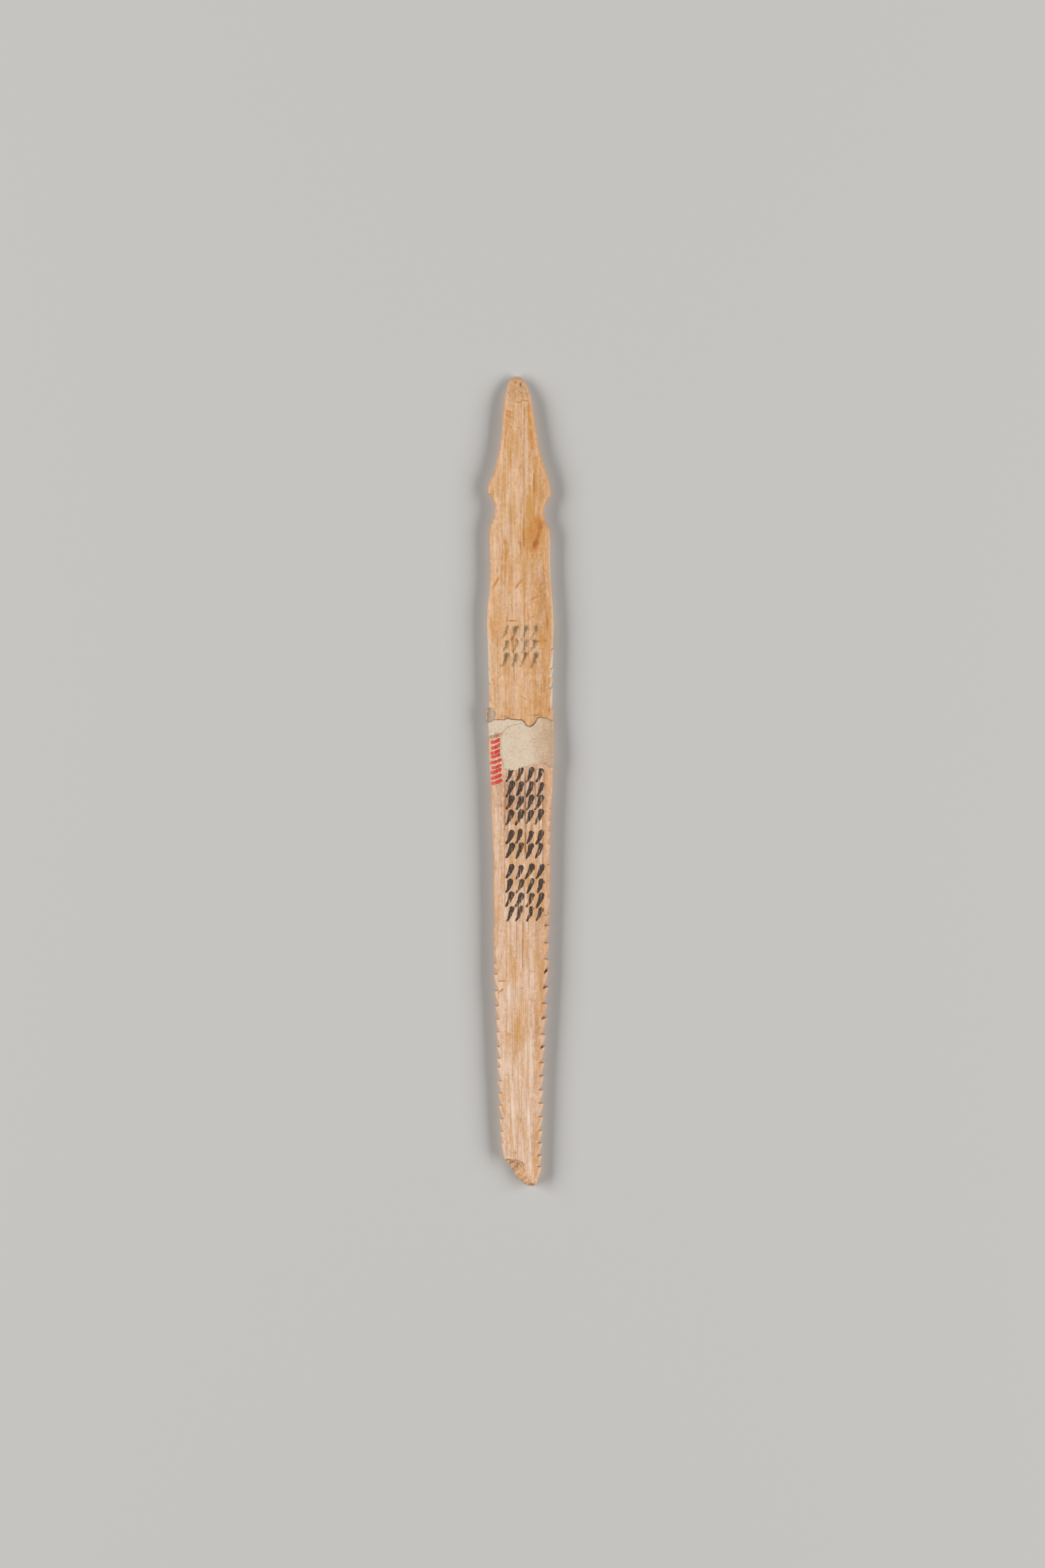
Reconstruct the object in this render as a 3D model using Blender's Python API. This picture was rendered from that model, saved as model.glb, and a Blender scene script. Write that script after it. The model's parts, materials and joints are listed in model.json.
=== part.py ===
"""Two-edged bone saw: a thin blade cut from the wall of a long bone, with a waisted, pointed head
and a row of raked teeth down each edge. It has snapped across the middle and was mended with a
plaster fill and a drop of glue, and its lower end is broken off at a slant.

It lies flat on z = 0 with its head towards +Y. The dimensions below are in millimetres.
"""

import math

import bmesh
import bpy
from mathutils import Vector

MM = 0.001

# Outline of the blank, through the tips of its teeth: (y, x) from the head's tip down each edge.
TIP_Y = 82.5
FOOT_Y = -83.5
LEFT_EDGE = [
    (82.5, -0.8), (82.1, -1.45), (81.5, -1.85), (80.9, -2.13), (80.0, -2.41), (78.0, -2.84),
    (75.0, -3.2), (71.0, -3.5), (68.0, -3.86), (65.0, -4.55), (63.0, -5.05), (61.0, -5.95),
    (59.1, -6.35), (58.0, -5.7), (56.3, -4.88), (55.0, -4.78), (53.6, -5.2), (52.0, -5.8),
    (49.5, -5.98), (44.0, -5.8), (39.0, -5.92), (36.0, -6.33), (32.0, -6.47), (26.0, -6.3),
    (16.0, -6.1), (8.0, -6.15), (4.0, -5.95), (0.0, -5.67), (-8.0, -5.45), (-17.0, -5.2),
    (-30.0, -5.14), (-40.0, -5.2), (-46.0, -4.87), (-52.0, -4.6), (-58.0, -4.45), (-64.0, -4.12),
    (-69.0, -3.97), (-74.0, -3.5), (-83.5, -3.1),
]
RIGHT_EDGE = [
    (82.5, -0.3), (82.2, 0.45), (81.9, 0.9), (81.0, 1.42), (80.0, 1.84), (78.0, 2.44),
    (76.0, 2.8), (71.0, 3.6), (68.0, 4.05), (65.0, 4.96), (62.0, 5.93), (60.0, 6.38),
    (58.4, 6.48), (57.0, 5.7), (55.5, 5.1), (54.5, 5.0), (53.2, 5.35), (51.3, 6.25),
    (48.5, 6.42), (45.0, 6.3), (42.0, 6.43), (36.0, 6.86), (31.5, 7.13), (27.0, 7.13),
    (19.0, 6.93), (13.0, 6.98), (5.0, 7.04), (0.0, 6.9), (-8.0, 6.62), (-20.0, 6.4),
    (-30.0, 6.3), (-40.0, 6.2), (-46.0, 5.87), (-52.0, 5.57), (-58.0, 5.25), (-66.0, 5.02),
    (-76.0, 4.75), (-83.5, 4.5),
]

# Height of the blade's crown: (y, thickness). The head ends in a worn bevel from BEVEL_Y up.
BEVEL_Y = 77.5
THICKNESS = [
    (82.5, 0.9), (81.0, 1.4), (BEVEL_Y, 2.05), (74.0, 2.2), (55.0, 2.6), (0.0, 2.6),
    (-40.0, 2.4), (-83.5, 2.1),
]
# Half of a cross-section: (share of the half width, share of the crown's height).
SECTION = [(0.0, 1.0), (0.4, 0.985), (0.65, 0.95), (0.82, 0.88), (0.93, 0.77), (1.0, 0.58)]
ARRIS = 0.2  # the underside's corners are rubbed off by this much
# Cross-sections are this far apart, down to each y.
ROW_STEPS = [(81.3, 0.24), (48.0, 0.72), (FOOT_Y, 2.3)]

# Teeth, cut by hand and none like the next: each run starts at a y on the edge and goes down it,
# and each tooth is (tip y, depth of the gullet above it, how far the gullet's floor undercuts the
# tip). Those on either side of the mend are worn nearly flat.
RIGHT_TEETH = [
    (31.5, [
        (27.1, 0.18, 0.1), (23.1, 0.27, 0.1), (20.9, 0.27, -0.4), (19.1, 0.5, 0.1),
        (14.1, 0.26, -0.8),
    ]),
    (-3.0, [
        (-5.8, 0.12, -0.4), (-8.1, 0.22, -0.4), (-10.2, 0.36, -0.3), (-13.1, 0.34, -0.8),
        (-17.2, 0.34, -0.3), (-20.8, 0.14, -0.8), (-24.6, 0.18, -1.4), (-27.2, 0.34, -0.5),
        (-29.2, 0.84, 0.2), (-32.8, 0.72, 0.05), (-36.4, 0.78, -0.4), (-38.0, 0.95, 1.0),
        (-41.6, 0.9, 0.45), (-45.2, 0.92, 0.0), (-47.9, 0.9, 0.4), (-51.5, 0.9, -0.1),
        (-53.7, 0.92, 0.6), (-57.2, 0.88, 0.0), (-59.9, 0.88, 0.1), (-62.8, 0.88, 0.0),
        (-65.6, 0.84, -0.2), (-68.3, 0.8, -0.1), (-71.1, 0.76, -0.1), (-73.6, 0.86, 0.0),
        (-76.1, 0.8, 0.1), (-78.4, 0.72, 0.0), (-81.4, 0.86, -0.1),
    ]),
]
LEFT_TEETH = [
    (29.6, [
        (27.6, 0.12, -0.3), (25.9, 0.1, -0.3), (24.3, 0.1, -0.3), (22.6, 0.14, -0.3),
        (19.9, 0.14, 0.1), (18.4, 0.18, 0.1), (16.6, 0.18, 0.1),
    ]),
    (-9.4, [
        (-11.5, 0.14, -0.2), (-22.4, 0.16, -5.0), (-30.4, 0.28, -1.6), (-32.2, 0.14, -0.1),
        (-34.2, 0.26, -0.2), (-37.0, 0.48, -0.2), (-39.3, 0.6, -0.2), (-42.7, 0.7, -0.2),
        (-45.7, 0.6, -0.1), (-48.5, 0.6, -0.3), (-51.1, 0.54, -0.2), (-54.0, 0.6, -0.1),
        (-56.4, 0.62, -0.2), (-58.1, 0.62, 0.0), (-61.0, 0.68, -0.2), (-63.5, 0.62, -0.2),
        (-66.0, 0.6, -0.2), (-68.7, 0.74, -0.2), (-71.4, 0.54, -0.3), (-73.6, 0.4, -0.2),
        (-76.7, 0.45, 0.1),
    ]),
]
# The back of each tooth slants in over the blade: by this much at its root, LEAN_AT mm up.
RIGHT_LEAN = 0.26
LEFT_LEAN = 0.2
LEAN_AT = 1.0
HEEL_SLANT = 0.3  # share of the lean at the other end of a tooth's back, by the tooth above
TOOTH_LAND = 0.13  # blunt stretch left at each tip

# The two fractures that the mend fills, from left to right.
UPPER_FRACTURE = [
    (-8.5, 12.2), (-5.9, 12.2), (-5.2, 12.55), (-2.9, 12.6), (-2.4, 12.95), (-1.4, 12.65),
    (0.6, 12.55), (1.2, 12.1), (1.5, 11.5), (2.2, 11.2), (2.8, 11.5), (3.3, 12.1),
    (3.65, 12.8), (4.1, 13.05), (5.6, 12.95), (6.3, 12.5), (8.5, 12.3),
]
LOWER_FRACTURE = [
    (-8.5, 8.6), (-5.95, 8.8), (-5.3, 9.4), (-4.8, 9.55), (-4.3, 9.9), (-3.45, 9.8),
    (-3.7, 9.2), (-3.7, 5.6), (-3.1, 3.9), (-3.0, 2.55), (-0.5, 2.35), (0.1, 2.85),
    (1.6, 3.05), (2.7, 3.65), (3.6, 3.4), (4.4, 3.9), (5.3, 3.75), (6.2, 2.95), (8.5, 3.2),
]
SEAM = 0.25  # clear width between mended pieces
FILL_SUNK = 0.14  # the plaster's surface lies this far under the bone's

# The slanting break at the foot, from left to right: its edge on the underside and on the crown.
FOOT_BREAK = [
    ((-5.5, -76.4), (-5.5, -76.6)), ((-3.0, -76.5), (-2.9, -76.75)),
    ((-2.6, -77.1), (-1.6, -76.95)), ((-2.0, -77.95), (-0.5, -77.0)),
    ((-1.15, -79.05), (0.75, -77.5)), ((-0.92, -79.6), (1.15, -78.3)),
    ((-0.9, -80.45), (1.35, -79.2)), ((-0.18, -81.0), (1.6, -80.2)),
    ((0.9, -81.87), (2.0, -81.1)), ((1.5, -82.25), (2.4, -81.6)), ((2.6, -82.5), (2.9, -81.9)),
    ((3.2, -82.35), (3.25, -81.8)), ((3.6, -82.05), (3.55, -81.55)),
    ((3.8, -81.2), (3.8, -81.0)), ((5.6, -80.9), (5.6, -80.7)),
]
CROWN_AT_FOOT = 2.1

# Drop of glue that ran out of the joint at the left edge.
BEAD_CENTRE = (-5.98, 13.5, 1.05)
BEAD_RADII = (1.16, 1.6, 0.92)
BEAD_SEGMENTS = (28, 16)  # round it, and from pole to pole

# How far the cutters reach.
CUT_BELOW = -0.5
CUT_ABOVE = 2.8
FAR = 8.5  # clear of either edge
PAST_TOOTH = 2.0  # out from a tooth's tip
PAST_END = 2.0  # beyond the blade's ends

SAME_POINT = 0.0001
SHARP_ANGLE = math.radians(30)

BONE = {"colour": (0.62, 0.38, 0.21), "roughness": 0.55}
PLASTER = {"colour": (0.66, 0.55, 0.40), "roughness": 0.9}
GLUE = {"colour": (0.42, 0.38, 0.30), "roughness": 0.25}


def along(stations, y):
    """The value at y on a smooth curve through (y, value) stations, which never overshoots them."""
    if y >= stations[0][0]:
        return stations[0][1]
    if y <= stations[-1][0]:
        return stations[-1][1]
    slopes = [(b[1] - a[1]) / (b[0] - a[0]) for a, b in zip(stations, stations[1:])]

    def tangent(k):
        if k in (0, len(slopes)):
            return slopes[min(k, len(slopes) - 1)]
        before, after = slopes[k - 1], slopes[k]
        return 0.0 if before * after <= 0 else 2 * before * after / (before + after)

    k = next(k for k in range(len(slopes)) if y >= stations[k + 1][0])
    (start, value), (end, next_value) = stations[k], stations[k + 1]
    span = end - start
    t = (y - start) / span
    return (
        (1 + 2 * t) * (1 - t) ** 2 * value
        + t * (1 - t) ** 2 * span * tangent(k)
        + t * t * (3 - 2 * t) * next_value
        - t * t * (1 - t) * span * tangent(k + 1)
    )


def material(name, finish):
    made = bpy.data.materials.new(name)
    made.use_nodes = True
    shader = made.node_tree.nodes["Principled BSDF"]
    shader.inputs["Base Color"].default_value = (*finish["colour"], 1.0)
    shader.inputs["Roughness"].default_value = finish["roughness"]
    shader.inputs["Metallic"].default_value = 0.0
    return made


def add_object(name, bm, collection, finish=None, at=(0.0, 0.0, 0.0)):
    """Makes an object of bm, scaled from millimetres to metres, and frees bm."""
    bmesh.ops.scale(bm, vec=(MM, MM, MM), verts=bm.verts)
    bmesh.ops.recalc_face_normals(bm, faces=bm.faces)
    mesh = bpy.data.meshes.new(name)
    bm.to_mesh(mesh)
    bm.free()
    made = bpy.data.objects.new(name, mesh)
    made.location = Vector(at) * MM
    collection.objects.link(made)
    if finish:
        mesh.materials.append(finish)
    else:
        made.hide_render = True
        made.display_type = "WIRE"
    return made


def row_heights():
    """The y of each cross-section, closer together in the head."""
    heights = [TIP_Y]
    for last, step in ROW_STEPS:
        while heights[-1] > last:
            heights.append(max(FOOT_Y, heights[-1] - step))
    return heights


def blank(name, collection, finish=None, sunk=0.0, grown=0.0):
    """The whole blade before it is cut: a bar with a crowned top, thin edges and a flat underside.

    sunk lowers its top. grown swells it all over, for cutting a neighbour clear of it.
    """
    heights = row_heights()
    across = [(-u, share) for u, share in reversed(SECTION[1:])] + SECTION
    bm = bmesh.new()
    bmesh.ops.create_grid(bm, x_segments=len(across) - 1, y_segments=len(heights) - 1, size=1)
    top = list(bm.faces)
    bmesh.ops.extrude_face_region(bm, geom=top)
    underside = {vert for face in top for vert in face.verts}
    for vert in bm.verts:
        u, share = across[round((vert.co.x + 1) / 2 * (len(across) - 1))]
        y = heights[round((1 - vert.co.y) / 2 * (len(heights) - 1))]
        left, right = along(LEFT_EDGE, y) - grown, along(RIGHT_EDGE, y) + grown
        x = (left + right) / 2 + u * (right - left) / 2
        if vert in underside:
            z = (ARRIS if abs(u) == 1 else 0.0) - grown
        else:
            z = share * along(THICKNESS, y) - sunk + grown
        vert.co = (x, y, z)
    return add_object(name, bm, collection, finish)


def prism(name, outline, collection):
    """A cutter: a closed XY outline stood up through the blade."""
    curve = bpy.data.curves.new(name, "CURVE")
    curve.dimensions = "2D"
    curve.fill_mode = "BOTH"
    curve.extrude = (CUT_ABOVE - CUT_BELOW) / 2
    spline = curve.splines.new("POLY")
    spline.points.add(len(outline) - 1)
    for point, (x, y) in zip(spline.points, outline):
        point.co = (x, y, 0, 1)
    spline.use_cyclic_u = True
    guide = bpy.data.objects.new(name, curve)
    collection.objects.link(guide)
    bpy.context.view_layer.update()
    graph = bpy.context.evaluated_depsgraph_get()
    mesh = bpy.data.meshes.new_from_object(guide.evaluated_get(graph))
    bpy.data.objects.remove(guide)
    bm = bmesh.new()
    bm.from_mesh(mesh)
    bpy.data.meshes.remove(mesh)
    bmesh.ops.remove_doubles(bm, verts=bm.verts, dist=SAME_POINT)
    bmesh.ops.translate(bm, vec=(0, 0, (CUT_ABOVE + CUT_BELOW) / 2), verts=bm.verts)
    return add_object(name, bm, collection)


def loft(bm, under, crown, crown_z):
    """Adds a cutter whose XY outline runs straight from under, at z = 0, to crown, at crown_z."""
    rings = []
    for z in (CUT_BELOW, CUT_ABOVE):
        pairs = zip(under, crown)
        ring = [Vector(a).lerp(Vector(b), z / crown_z) for a, b in pairs]
        rings.append([bm.verts.new((x, y, z)) for x, y in ring])
    low, high = rings
    faces = [bm.faces.new(ring) for ring in rings]
    for k in range(len(low)):
        faces.append(bm.faces.new((low[k - 1], low[k], high[k], high[k - 1])))
    bmesh.ops.triangulate(bm, faces=faces)


def gullets(name, runs, edge, side, lean, collection):
    """Two cutters for one edge's teeth, each with every other wedge, so that none of them touch.

    A wedge lies between a tooth and the next one down. Its wall along the back of the upper tooth
    slants inwards, most of all at its root, and the wall under it is upright.
    """
    outside = Vector((side * PAST_TOOTH, 0.0))
    inwards = Vector((-side * lean, 0.0))
    halves = [bmesh.new(), bmesh.new()]
    for start, teeth in runs:
        upper = start
        for k, (lower, depth, hook) in enumerate(teeth):
            heel = Vector((along(edge, upper), upper - TOOTH_LAND))
            tip = Vector((along(edge, lower), lower))
            root = tip + Vector((-side * depth, -hook))
            deeper = inwards + Vector((0.0, -max(hook, 0.0) * lean / depth))
            under = [heel, root, tip, tip + outside, heel + outside]
            crown = [heel + inwards * HEEL_SLANT, root + deeper, *under[2:]]
            loft(halves[k % 2], under, crown, LEAN_AT)
            upper = lower
    return [add_object(f"{name}_{k + 1}", bm, collection) for k, bm in enumerate(halves)]


def foot_break(name, collection):
    """The cutter for the break at the foot, from its edge below to its edge above."""
    rings = []
    for edge in zip(*FOOT_BREAK):
        first_y, last_y = edge[0][1], edge[-1][1]
        end_y = FOOT_Y - PAST_END
        beyond = [(FAR, last_y), (FAR, end_y), (-FAR, end_y), (-FAR, first_y)]
        rings.append(list(edge) + beyond)
    bm = bmesh.new()
    loft(bm, *rings, CROWN_AT_FOOT)
    return add_object(name, bm, collection)


def offset(line, distance):
    """The line moved sideways by distance, to the left of the way it runs."""
    moved = []
    for k, point in enumerate(line):
        before = Vector(line[max(k - 1, 0)])
        after = Vector(line[min(k + 1, len(line) - 1)])
        ahead = (after - before).normalized()
        moved.append((point[0] - ahead.y * distance, point[1] + ahead.x * distance))
    return moved


def cut(piece, cutter, operation="DIFFERENCE"):
    modifier = piece.modifiers.new(cutter.name, "BOOLEAN")
    modifier.operation = operation
    modifier.object = cutter


def bead(name, collection, finish):
    """The drop of glue, before it is cut clear of the blade's edge."""
    bm = bmesh.new()
    around, from_pole = BEAD_SEGMENTS
    bmesh.ops.create_uvsphere(bm, u_segments=around, v_segments=from_pole, radius=1.0)
    bmesh.ops.scale(bm, vec=BEAD_RADII, verts=bm.verts)
    return add_object(name, bm, collection, finish, at=BEAD_CENTRE)


def main():
    for old in list(bpy.data.objects):
        bpy.data.objects.remove(old)
    saw = bpy.data.collections.new("bone_saw")
    cutters = bpy.data.collections.new("cutters")
    for collection in (saw, cutters):
        bpy.context.scene.collection.children.link(collection)

    bone = material("bone", BONE)
    plaster = material("plaster", PLASTER)
    glue = material("glue", GLUE)

    above = [(FAR, TIP_Y + PAST_END), (-FAR, TIP_Y + PAST_END)]
    below = [(FAR, FOOT_Y - PAST_END), (-FAR, FOOT_Y - PAST_END)]
    mend = offset(UPPER_FRACTURE, -SEAM) + offset(LOWER_FRACTURE, SEAM)[::-1]
    head_zone = prism("head_zone", UPPER_FRACTURE + above, cutters)
    foot_zone = prism("foot_zone", LOWER_FRACTURE + below, cutters)
    mend_zone = prism("mend_zone", mend, cutters)
    foot_cut = foot_break("foot_cut", cutters)
    tooth_cuts = gullets("right_gullets", RIGHT_TEETH, RIGHT_EDGE, 1, RIGHT_LEAN, cutters)
    tooth_cuts += gullets("left_gullets", LEFT_TEETH, LEFT_EDGE, -1, LEFT_LEAN, cutters)
    swollen_blade = blank("swollen_blade", cutters, grown=SEAM)

    upper_blade = blank("upper_blade", saw, bone)
    cut(upper_blade, head_zone, "INTERSECT")
    lower_blade = blank("lower_blade", saw, bone)
    cut(lower_blade, foot_zone, "INTERSECT")
    cut(lower_blade, foot_cut)
    for blade in (upper_blade, lower_blade):
        for tooth_cut in tooth_cuts:
            cut(blade, tooth_cut)

    plaster_fill = blank("plaster_fill", saw, plaster, sunk=FILL_SUNK)
    cut(plaster_fill, mend_zone, "INTERSECT")

    glue_bead = bead("glue_bead", saw, glue)
    cut(glue_bead, swollen_blade)

    whole = bpy.data.objects.new("bone_saw", None)
    saw.objects.link(whole)
    for piece in (upper_blade, lower_blade, plaster_fill, glue_bead):
        piece.parent = whole
        piece.data.shade_smooth()
        piece.data.set_sharp_from_angle(angle=SHARP_ANGLE)


main()
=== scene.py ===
"""Two-edged bone saw: how it looks.

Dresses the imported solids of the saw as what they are: two lengths of old, grained and stained
bone, the plaster that mends them, a drop of dried glue, rows of brush strokes in ink and small
marks in red paint. It is laid out as an add-on, with its sizes and colours in the sidebar.

Lengths in the tables below are in millimetres, with the head towards +Y and the worked face up.
"""

import json
import math
from functools import partial

import bmesh
import bpy
import numpy as np
from bpy.props import FloatProperty, FloatVectorProperty, IntProperty, PointerProperty
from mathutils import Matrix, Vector
from mathutils.bvhtree import BVHTree
from mathutils.kdtree import KDTree

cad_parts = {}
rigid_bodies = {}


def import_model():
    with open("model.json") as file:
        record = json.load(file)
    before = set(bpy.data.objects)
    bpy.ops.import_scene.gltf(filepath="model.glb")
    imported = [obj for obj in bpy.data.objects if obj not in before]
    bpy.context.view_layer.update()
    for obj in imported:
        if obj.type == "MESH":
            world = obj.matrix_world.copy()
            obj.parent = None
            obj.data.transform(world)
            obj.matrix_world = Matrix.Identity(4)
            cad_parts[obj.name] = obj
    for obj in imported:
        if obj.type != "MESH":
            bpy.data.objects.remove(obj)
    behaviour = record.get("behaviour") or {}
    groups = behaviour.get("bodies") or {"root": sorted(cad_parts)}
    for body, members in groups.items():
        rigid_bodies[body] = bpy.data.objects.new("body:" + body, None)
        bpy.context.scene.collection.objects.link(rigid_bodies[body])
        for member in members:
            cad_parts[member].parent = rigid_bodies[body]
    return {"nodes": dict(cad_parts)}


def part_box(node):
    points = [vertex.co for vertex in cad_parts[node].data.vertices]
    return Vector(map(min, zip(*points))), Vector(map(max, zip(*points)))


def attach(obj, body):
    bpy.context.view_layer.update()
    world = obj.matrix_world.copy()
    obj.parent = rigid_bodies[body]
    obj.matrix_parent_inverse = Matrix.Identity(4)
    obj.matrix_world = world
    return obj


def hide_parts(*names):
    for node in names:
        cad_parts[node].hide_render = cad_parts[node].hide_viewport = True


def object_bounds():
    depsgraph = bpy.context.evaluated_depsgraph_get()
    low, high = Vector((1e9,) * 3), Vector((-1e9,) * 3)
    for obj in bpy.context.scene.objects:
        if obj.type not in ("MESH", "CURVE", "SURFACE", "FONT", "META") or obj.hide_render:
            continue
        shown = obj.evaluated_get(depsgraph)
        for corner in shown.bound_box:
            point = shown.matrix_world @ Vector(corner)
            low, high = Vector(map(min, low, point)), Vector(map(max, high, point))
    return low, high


bl_info = {
    "name": "Bone saw",
    "version": (1, 0, 0),
    "blender": (4, 5, 0),
    "location": "View3D > Sidebar > Bone saw",
    "description": "Finishes a mended bone saw with its grain, stains, ink and repairs",
    "category": "Add Mesh",
}

for old in list(bpy.data.objects):
    bpy.data.objects.remove(old)
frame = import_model()
CAD_BOX = [list(corner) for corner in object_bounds()]

MM = 0.001

# Meshes. Cells are finer across the grain than along it, because the grain is.
BONE_CELL, PLASTER_CELL, GLUE_CELL = 0.15, 0.1, 0.06
GRAIN_STRETCH = 1.5
MOST_TRIANGLES = 190000
SAME_POINT = 0.0001
FAR = 2.0  # distances to a wall are of no use beyond this
UNDERSIDE = 0.05  # what lies lower than this is the underside
FACE_TILT = 0.2  # normals that point up by more than this are on the worked face
WALL_TILT = 0.35  # and by less than this, up or down, on the sides
WALL_SLOPE = (0.95, 0.6)  # the face turns into the side of the blade between these

# The break at the foot: the edge where the face of the blade gives way to it.
FOOT_EDGE = [
    (-5.5, -76.6), (-2.9, -76.75), (-1.6, -76.95), (-0.5, -77), (0.75, -77.5), (1.15, -78.3),
    (1.35, -79.2), (1.6, -80.2), (2, -81.1), (2.9, -81.9), (3.55, -81.55), (3.8, -81), (5.6, -80.7),
]
FOOT_BLEND = 0.15
BREAK_SMOOTHING = 160
BREAK_TILT = 0.15  # the part of the break that is smoothed faces up by more than this
# The worn end of the head: where it starts, how that edge waves, how far it takes to open, how open.
TIP_EDGE, TIP_WAVE, TIP_WAVES, TIP_BLEND, TIP_SHARE = 77.0, 0.5, 1.9, 1.6, 0.55
MEND_SPAN = (2.3, 13.1)  # the fractures lie between these
FRACTURE_REACH = 5.8  # and within this of the middle
FRACTURE_TILT = 0.5  # their normals point up or down by less than this
LIP_FROM, LIP_REACH = 6.0, 6.2  # their lips are dirty above this and within this of the middle
LIP_DIRT, LIP_FADE, LIP_MOST = 0.8, 0.25, 0.6  # at the edge, how far in it falls by 1, the most
TEETH_FROM = -26.0  # the teeth that are worn and get a painted highlight on their flanks lie below this
FLANK_TILT, ROOT_TILT = 0.85, 0.6  # walls face sideways by this at a flank, lengthways at a root
FLANKS = ([-66.0, -26.0], [0.0, 0.6])  # the painted highlight on the teeth's flanks grows towards the foot
UPPER_FIBROUS, LOWER_FIBROUS = 0.3, 0.15  # how fibrous the face is at least
FIBROUS_HALF = ([-82.0, -40.0, -20.0, 5.0], [1.9, 2.9, 4.5, 5.5])  # half width of the fibrous middle
FIBROUS_CENTRE, FIBROUS_BLEND = 0.5, 0.5
FIBROUS_MORE = ([-45.0, -30.0], [0.85, 0.55])  # and how much more so it is
FRESH = 0.08  # a chip this deep shows clean bone
FIBRE_SPREAD = 1.7  # how far bare fibres fray out to their sides
STRAY = 0.03  # how far grooves and fibres wander to their sides
INK_SUNK = 0.015  # the strokes of ink lie this deep
FAINT_GROOVES = (90, 0.16, 0.035)  # fine grooves of no special place: how many, most width, depth
SCRATCH = {"length": 1.7, "width": 0.42, "depth": 0.02}
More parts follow.
